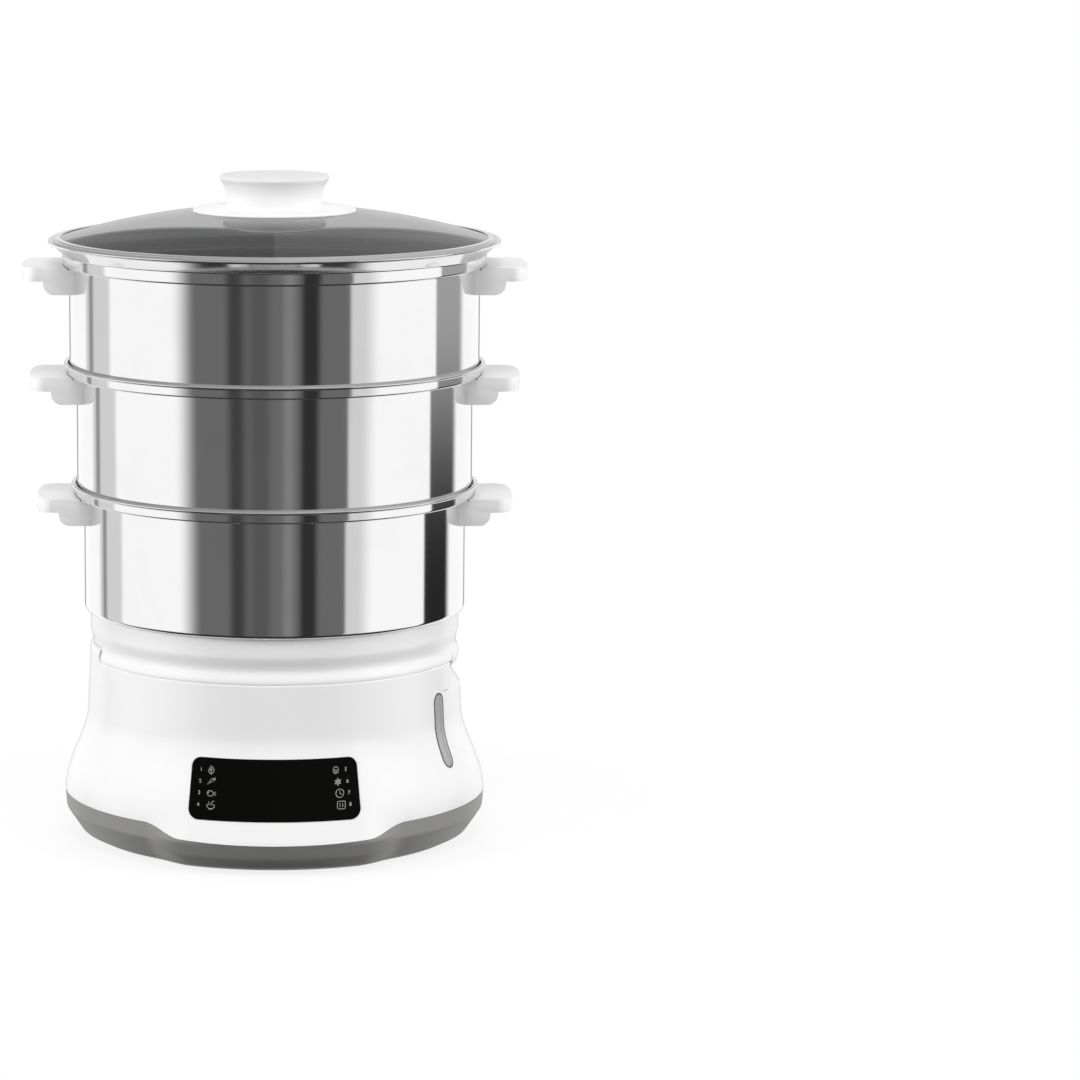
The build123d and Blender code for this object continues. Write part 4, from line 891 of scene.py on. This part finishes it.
def bulge(start, middle, end, steps=14):
    """Arc through three points."""
    a, b, c = Vector(start), Vector(middle), Vector(end)
    d = 2 * (a.x * (b.y - c.y) + b.x * (c.y - a.y) + c.x * (a.y - b.y))
    aa, bb, cc = a.length_squared, b.length_squared, c.length_squared
    ux = (aa * (b.y - c.y) + bb * (c.y - a.y) + cc * (a.y - b.y)) / d
    uy = (aa * (c.x - b.x) + bb * (a.x - c.x) + cc * (b.x - a.x)) / d
    centre = Vector((ux, uy))
    first = degrees(atan2(a.y - uy, a.x - ux))
    last = degrees(atan2(c.y - uy, c.x - ux))
    return arc(centre, (a - centre).length, first, last, steps)


# ---------------------------- bowls


def band_radius(name):
    """Radius of the upright band over a bowl's step, in which the next piece stands."""
    return LARGE_BAND_R if name == "large" else SIZES[name] + NEST_STEP + LIFT_GAP + SHEET


def make_bowl_wall(name):
    """Steel bowl: nesting foot, tall wall, band and rolled rim."""
    wall_r, band_r = SIZES[name], band_radius(name)
    floor = foot_of(f"bowl_foot_{name}")
    step = top_of(f"handle_right_{name}")
    shoulder = floor + SHOULDER_RISE
    ring_z = shoulder - SHOULDER_DROP
    spigot_r, shoulder_r = wall_r - SPIGOT_INSET, wall_r - SHOULDER_WIDTH
    corners = [(PLATE_R - PLATE_LAP, floor), (spigot_r, floor), (spigot_r, ring_z), (shoulder_r, ring_z),
               (shoulder_r, shoulder), (wall_r, shoulder), (wall_r, step - SHEET)]
    bends = [BEND_R, LEDGE_BEND_R, BEND_R, LEDGE_BEND_R, SHOULDER_CORNER, LEDGE_BEND_R, BEND_R]
    if name == "large":
        bead = (LARGE_RIM_R - BEAD_R, top_of("bowl_wall_large") - BEAD_R)
        corners += [(band_r, step - SHEET), (band_r, step + FLARE_RISE), bead]
        bends += [BEND_R]
    else:
        bead = (band_r + RIM_FLARE - BEAD_R, step + RIM_RISE - BEAD_R)
        corners += [(band_r, step - SHEET), (band_r, bead[1])]
    outer, inner = sheet_sides(corners, bends, SHEET)
    wall = lathe(f"bowl_wall_{name}_look", steadied(with_bead(outer, inner, bead, BEAD_R)), BOWL_STEPS)
    return finish_piece(wall, f"bowl_{name}", "polished_steel",
                        [f"bowl_wall_{name}", f"bowl_foot_{name}"], 50)


def make_handle(name, facing):
    """Moulded handle: a flat ear with a bowed tip on a block that hugs the wall."""
    wall_r, band_r = SIZES[name], band_radius(name)
    top = top_of(f"handle_right_{name}")
    start = wall_r * cos(asin(HANDLE_HALF_WIDTH / wall_r)) - HANDLE_OVERLAP
    tip_r, root_r = wall_r + HANDLE_REACH, wall_r + ROOT_REACH
    side = rounded([(start, top), (tip_r, top), (tip_r, top - EAR_THICKNESS), (root_r, top - EAR_THICKNESS),
                    (root_r, top - ROOT_HEIGHT), (start, top - ROOT_HEIGHT)],
                   [SHARP, SHARP, EAR_CORNER, ROOT_CORNER], 8)
    body = prism(f"handle_{name}", side, HANDLE_HALF_WIDTH)
    plan_side = tip_r - TIP_BOW
    bow = bulge((plan_side, -HANDLE_HALF_WIDTH), (tip_r, 0), (plan_side, HANDLE_HALF_WIDTH), 24)
    corner = len(bow) // 4
    front = rounded([(start - CUT_SPARE, -HANDLE_HALF_WIDTH), (plan_side, -HANDLE_HALF_WIDTH),
                     tuple(bow[corner])], [TIP_CORNER], 8)
    back = [Vector((p.x, -p.y)) for p in reversed(front)]
    plan = prism("plan", front[:-1] + bow[corner:-corner] + back[1:], PLAN_REACH)
    place(plan, Matrix.Translation((0, 0, (top - CUT_SPARE) * MM)) @ UPRIGHT)
    combine(body, plan, "INTERSECT")
    modify(body, "BEVEL", width=EAR_EDGE * MM, segments=4, limit_method="ANGLE", angle_limit=radians(50))
    hug_r, seat, over = wall_r + HUG_GAP, top - SHEET - FIT, top + CUT_SPARE
    hug = [Vector(p) for p in ((0, top - HUG_DEPTH), (hug_r, top - HUG_DEPTH), (hug_r, seat),
                               (band_r + FIT, seat), (band_r + FIT, over), (0, over))]
    combine(body, lathe("hug", hug, BOWL_STEPS), "DIFFERENCE")
    place(body, turned_by(facing))
    side_name = "right" if facing == RIGHT else "left"
    body.name = f"grip_{side_name}_{name}"
    return finish_piece(body, f"bowl_{name}", "white_grip", [f"handle_{side_name}_{name}"], 40)


# ---------------------------- lid


def lid_heights():
    """Heights of the top of the large bowl's rim and of the lid band."""
    rim_z = top_of("bowl_wall_large")
    return rim_z, rim_z + LID_TOP_RISE


def make_lid_band():
    """Steel band that plugs into the large bowl and folds over the glass."""
    rim_z, top = lid_heights()
    step = top_of("handle_right_large")
    band_r = LARGE_BAND_R - SHEET - LIFT_GAP
    lean = atan2(LARGE_RIM_R - BEAD_R - LARGE_BAND_R, rim_z - BEAD_R - step - FLARE_RISE)
    knee = step + FLARE_RISE + (SHEET + LIFT_GAP) * tan(lean / 2)
    corners = [(band_r - LID_FOOT, step), (band_r, step), (band_r, knee),
               (LID_RIM_R, knee + (LID_RIM_R - band_r) / tan(lean)), (LID_RIM_R, top),
               (LID_RIM_R - LID_LIP, top)]
    outer, inner = sheet_sides(corners, [BEND_R, LEDGE_BEND_R, BEND_R, BEND_R], SHEET)
    band = lathe("lid_band", steadied(outer + inner[::-1]), BOWL_STEPS)
    return finish_piece(band, "lid", "polished_steel", ["lid_rim"], 50)


def dome_z(radius):
    """Height of the top of the glass."""
    lip_r = LID_RIM_R - LID_LIP
    sphere_r = (lip_r ** 2 + GLASS_RISE ** 2) / (2 * GLASS_RISE)
    return lid_heights()[1] - SHEET + GLASS_RISE - sphere_r + sqrt(sphere_r ** 2 - radius ** 2)


def make_glass():
    """Shallow glass dome with a ground edge and a hole for the screw."""
    edge_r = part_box("lid_glass")[1].x / MM
    radii = rise(GLASS_HOLE_R, edge_r, 2.5)
    top = [Vector((r, dome_z(r))) for r in radii]
    low = [Vector((r, dome_z(r) - GLASS_THICKNESS)) for r in reversed(radii)]
    glass = lathe("glass", low + top, BOWL_STEPS)
    return finish_piece(glass, "lid", "lid_glass", ["lid_glass"])


def make_knob():
    """White disc on the glass, and the flared knob on it."""
    seat, foot = dome_z(DISC_R) + DISC_RISE, dome_z(DISC_R)
    top = top_of("lid_knob")
    under = [Vector((r, dome_z(r))) for r in rise(KNOB_HOLE_R, DISC_R, 3.0)]
    upper = rounded([(DISC_R, foot), (DISC_R, foot + DISC_EDGE_RISE), (KNOB_NECK_R, seat),
                     (KNOB_HOLE_R, seat)], [DISC_EDGE, DISC_BLEND], 6)[1:]
    disc = lathe("knob_disc", under + upper, KNOB_STEPS)
    finish_piece(disc, "lid", "white_grip", ["lid_knob_base"])
    low, high, widening = seat + KNOB_NECK_RISE, top - KNOB_EDGE, KNOB_TOP_R - KNOB_NECK_R
    shares = [step / KNOB_FLARE_STEPS for step in range(KNOB_FLARE_STEPS + 1)]
    flare = [Vector((KNOB_NECK_R + widening * share ** 2, low + (high - low) * share)) for share in shares]
    crown = rounded([(KNOB_TOP_R, high), (KNOB_TOP_R, top), (0, top)], [KNOB_CROWN_R], 8)[1:]
    outline = [Vector((0, seat)), Vector((KNOB_NECK_R, seat))] + flare + crown
    knob = lathe("knob", outline, KNOB_STEPS)
    # the knob takes the darker copy of the grip's white, a painted shade
    finish_piece(knob, "lid", "white_grip", ["lid_knob"], surface="shaded_white_knob")


# ---------------------------- all pieces

make_housing()
make_skirt()
make_panel()
make_signs()
make_window()
make_tray()
for bowl in SIZES:
    make_bowl_wall(bowl)
    for side in (RIGHT, LEFT):
        make_handle(bowl, side)
make_lid_band()
make_glass()
make_knob()

# ---------------------------- studio
# Azimuths are degrees to the right of the camera's side, and heights degrees above the horizon.
# A pair is where a soft edge starts and ends. A flag is its two edges, how soft each is, and its tone.

WHITE_WALL = 1.06
FLAGS = (
    (-131, -105, 3, 4, 0.70),
    (-127, -122, 3, 3, 0.30),
    (-52, 44, 16, 4, 0.15),
    (43, 56, 3, 12, 0.70),
    (-26, -17, 6, 8, 0.055),
    (-14, -3, 8, 6, 0.10),
    (5, 11, 5, 5, 0.23),
    (15, 25, 5, 5, 0.03),
)
SIDE_FLAG_START, SIDE_FLAG_END = (101, 103), (125, 133)
FADE_FROM, FADE_TONE, DARKEST = (-10.5, -6.3), 0.36, 0.02
BEHIND_FROM, BEHIND_TOP, BEHIND_TONE = (162, 170), (-3, 1), 0.25
HORIZON, HORIZON_FROM = 0.75, (0, 3)
CEILING_LEFT, CEILING_RIGHT, CEILING_TURN, CEILING_FROM = 0.36, 0.48, (-60, 60), (6, 14)
PANEL_HALF_TURN, PANEL_HALF_HEIGHT, PANEL_GAIN = 7.5, 25.0, 0.65
PANEL_FOOT, PANEL_RIM = (-2, 2), (0.90, 1.10)
FLOOR_TONE, FLOOR_FROM = 0.03, (-34, -20)
BOUNCE_SIDES, BOUNCE_FROM = (116, 126), (-72, -62)
AMBIENT = 0.42

FLOOR_RADIUS_M = 30.0
SHADOW_SHARE, SHADOW_NEAR_MM, SHADOW_FAR_MM = 0.16, 150.0, 420.0
FLOOR_WHITE, FLOOR_BOUNCE = 0.95, 0.12

LAMPS = (
    # name, azimuth, elevation, distance and size in metres, power in watts
    ("key", -66, 16, 2.2, 1.4, 36),
    ("fill", 68, 16, 2.2, 1.4, 33.5),
    ("front", 0, 58, 2.6, 1.2, 17),
    ("back", 180, 25, 2.4, 1.6, 18),
)
LAMP_TARGET_M = 0.2
CAMERA_LENS, CAMERA_SENSOR, CAMERA_SHIFT = 144.0, 36.0, 0.2458
CAMERA_PLACE_M, CAMERA_TILT = (0.0, -2.573, 0.608), 80.5


def mixed(level, share, tone):
    """Level moved towards a tone by a share."""
    return level + share * (tone - level)


def mirror_or_glass(path):
    """1 for a ray that left a mirror or passed through glass."""
    return path.math("MAXIMUM", path.other("Is Glossy Ray"), path.other("Is Transmission Ray"))


def studio_world():
    """White room with dark flags, which only mirrors and glass see, and a soft even light."""
    world = bpy.data.worlds.new("studio")
    bpy.context.scene.world = world
    graph = Graph(world)
    ray = graph.add("TexCoord")
    split = graph.add("SeparateXYZ", {}, {"Vector": ray})
    x, y, z = split, split.other("Y"), split.other("Z")
    azimuth = (x.math("ARCTAN2", x, 0 - y)) * (180 / pi)
    height = z.math("ARCSINE", z) * (180 / pi)
    aside = azimuth.math("ABSOLUTE", azimuth)
    level = azimuth * 0 + WHITE_WALL
    for start, end, soft_start, soft_end, tone in FLAGS:
        mask = azimuth.between(start - soft_start / 2, start + soft_start / 2)
        mask = mask * (1 - azimuth.between(end - soft_end / 2, end + soft_end / 2))
        level = mixed(level, mask, tone)
    fade = height.between(*FADE_FROM)
    mask = azimuth.between(*SIDE_FLAG_START) * (1 - azimuth.between(*SIDE_FLAG_END))
    level = mixed(level, mask, fade * fade * FADE_TONE + DARKEST)
    level = mixed(level, aside.between(*BEHIND_FROM) * (1 - height.between(*BEHIND_TOP)), BEHIND_TONE)
    level = mixed(level, height.between(*HORIZON_FROM), HORIZON)
    ceiling = CEILING_LEFT + azimuth.between(*CEILING_TURN) * (CEILING_RIGHT - CEILING_LEFT)
    level = mixed(level, height.between(*CEILING_FROM), ceiling)
    across = (180 - aside) / PANEL_HALF_TURN
    upward = height / PANEL_HALF_HEIGHT
    inside = 1 - (across * across + upward * upward).between(*PANEL_RIM)
    level = mixed(level, height.between(*PANEL_FOOT) * inside, HORIZON + PANEL_GAIN * upward * upward)
    outward = aside.between(*BOUNCE_SIDES) * height.between(*BOUNCE_FROM)
    under = FLOOR_TONE + outward * (FLOOR_WHITE - FLOOR_TONE)
    level = mixed(level, 1 - height.between(*FLOOR_FROM), under)
    path = graph.add("LightPath")
    mirror, shown = mirror_or_glass(path), path.other("Is Camera Ray")
    strength = AMBIENT * (1 - mirror) * (1 - shown) + level * mirror + shown
    background = graph.add("Background", {}, {"Color": grey(1.0), "Strength": strength})
    graph.add("OutputWorld", {}, {"Surface": background})


def studio_floor():
    """White floor that shows the contact shadow and is left out of mirrors."""
    bpy.ops.mesh.primitive_circle_add(vertices=96, radius=FLOOR_RADIUS_M, fill_type="NGON")
    floor = bpy.context.object
    floor.name = "floor"
    floor.select_set(False)

    def build(graph):
        path = graph.add("LightPath")
        lit = graph.add("BsdfDiffuse", {}, {"Color": grey(FLOOR_WHITE)})
        dim = graph.add("BsdfDiffuse", {}, {"Color": grey(FLOOR_BOUNCE)})
        shine = graph.add("Emission", {}, {"Color": grey(1.0), "Strength": 1.0})
        far = graph.add("VectorMath", {"operation": "LENGTH"}, {0: object_place(graph)})
        far = far.other("Value") if far.output.name != "Value" else far
        share = (1 - far.between(SHADOW_NEAR_MM, SHADOW_FAR_MM)) * SHADOW_SHARE
        seen = graph.add("MixShader", {}, {0: share, 1: shine, 2: lit})
        bounce = graph.add("MixShader", {}, {0: path, 1: dim, 2: seen})
        through = graph.add("BsdfTransparent")
        return graph.add("MixShader", {}, {0: mirror_or_glass(path), 1: bounce, 2: through})

    floor.data.materials.append(make_material("floor", build))


def lamp(name, azimuth, elevation, distance, size, power):
    """Large soft lamp that looks at the middle of the steamer."""
    data = bpy.data.lights.new(name, "AREA")
    data.shape, data.size, data.energy = "DISK", size, power
    piece = bpy.data.objects.new(name, data)
    bpy.context.scene.collection.objects.link(piece)
    turn, lift = radians(azimuth), radians(elevation)
    away = Vector((sin(turn) * cos(lift), -cos(turn) * cos(lift), sin(lift)))
    piece.location = Vector((0, 0, LAMP_TARGET_M)) + away * distance
    piece.rotation_euler = away.to_track_quat("Z", "Y").to_euler()
    piece.visible_glossy = False
    piece.visible_transmission = False
    piece.visible_camera = False


def studio_camera():
    """Camera of the main view: a long lens, a little above the lid."""
    data = bpy.data.cameras.new("camera")
    data.lens, data.sensor_width, data.shift_x = CAMERA_LENS, CAMERA_SENSOR, CAMERA_SHIFT
    camera = bpy.data.objects.new("camera", data)
    bpy.context.scene.collection.objects.link(camera)
    camera.location = CAMERA_PLACE_M
    camera.rotation_euler = (radians(CAMERA_TILT), 0, 0)
    bpy.context.scene.camera = camera


studio_world()
studio_floor()
for settings in LAMPS:
    lamp(*settings)
studio_camera()
bpy.context.scene.view_settings.view_transform = "Standard"
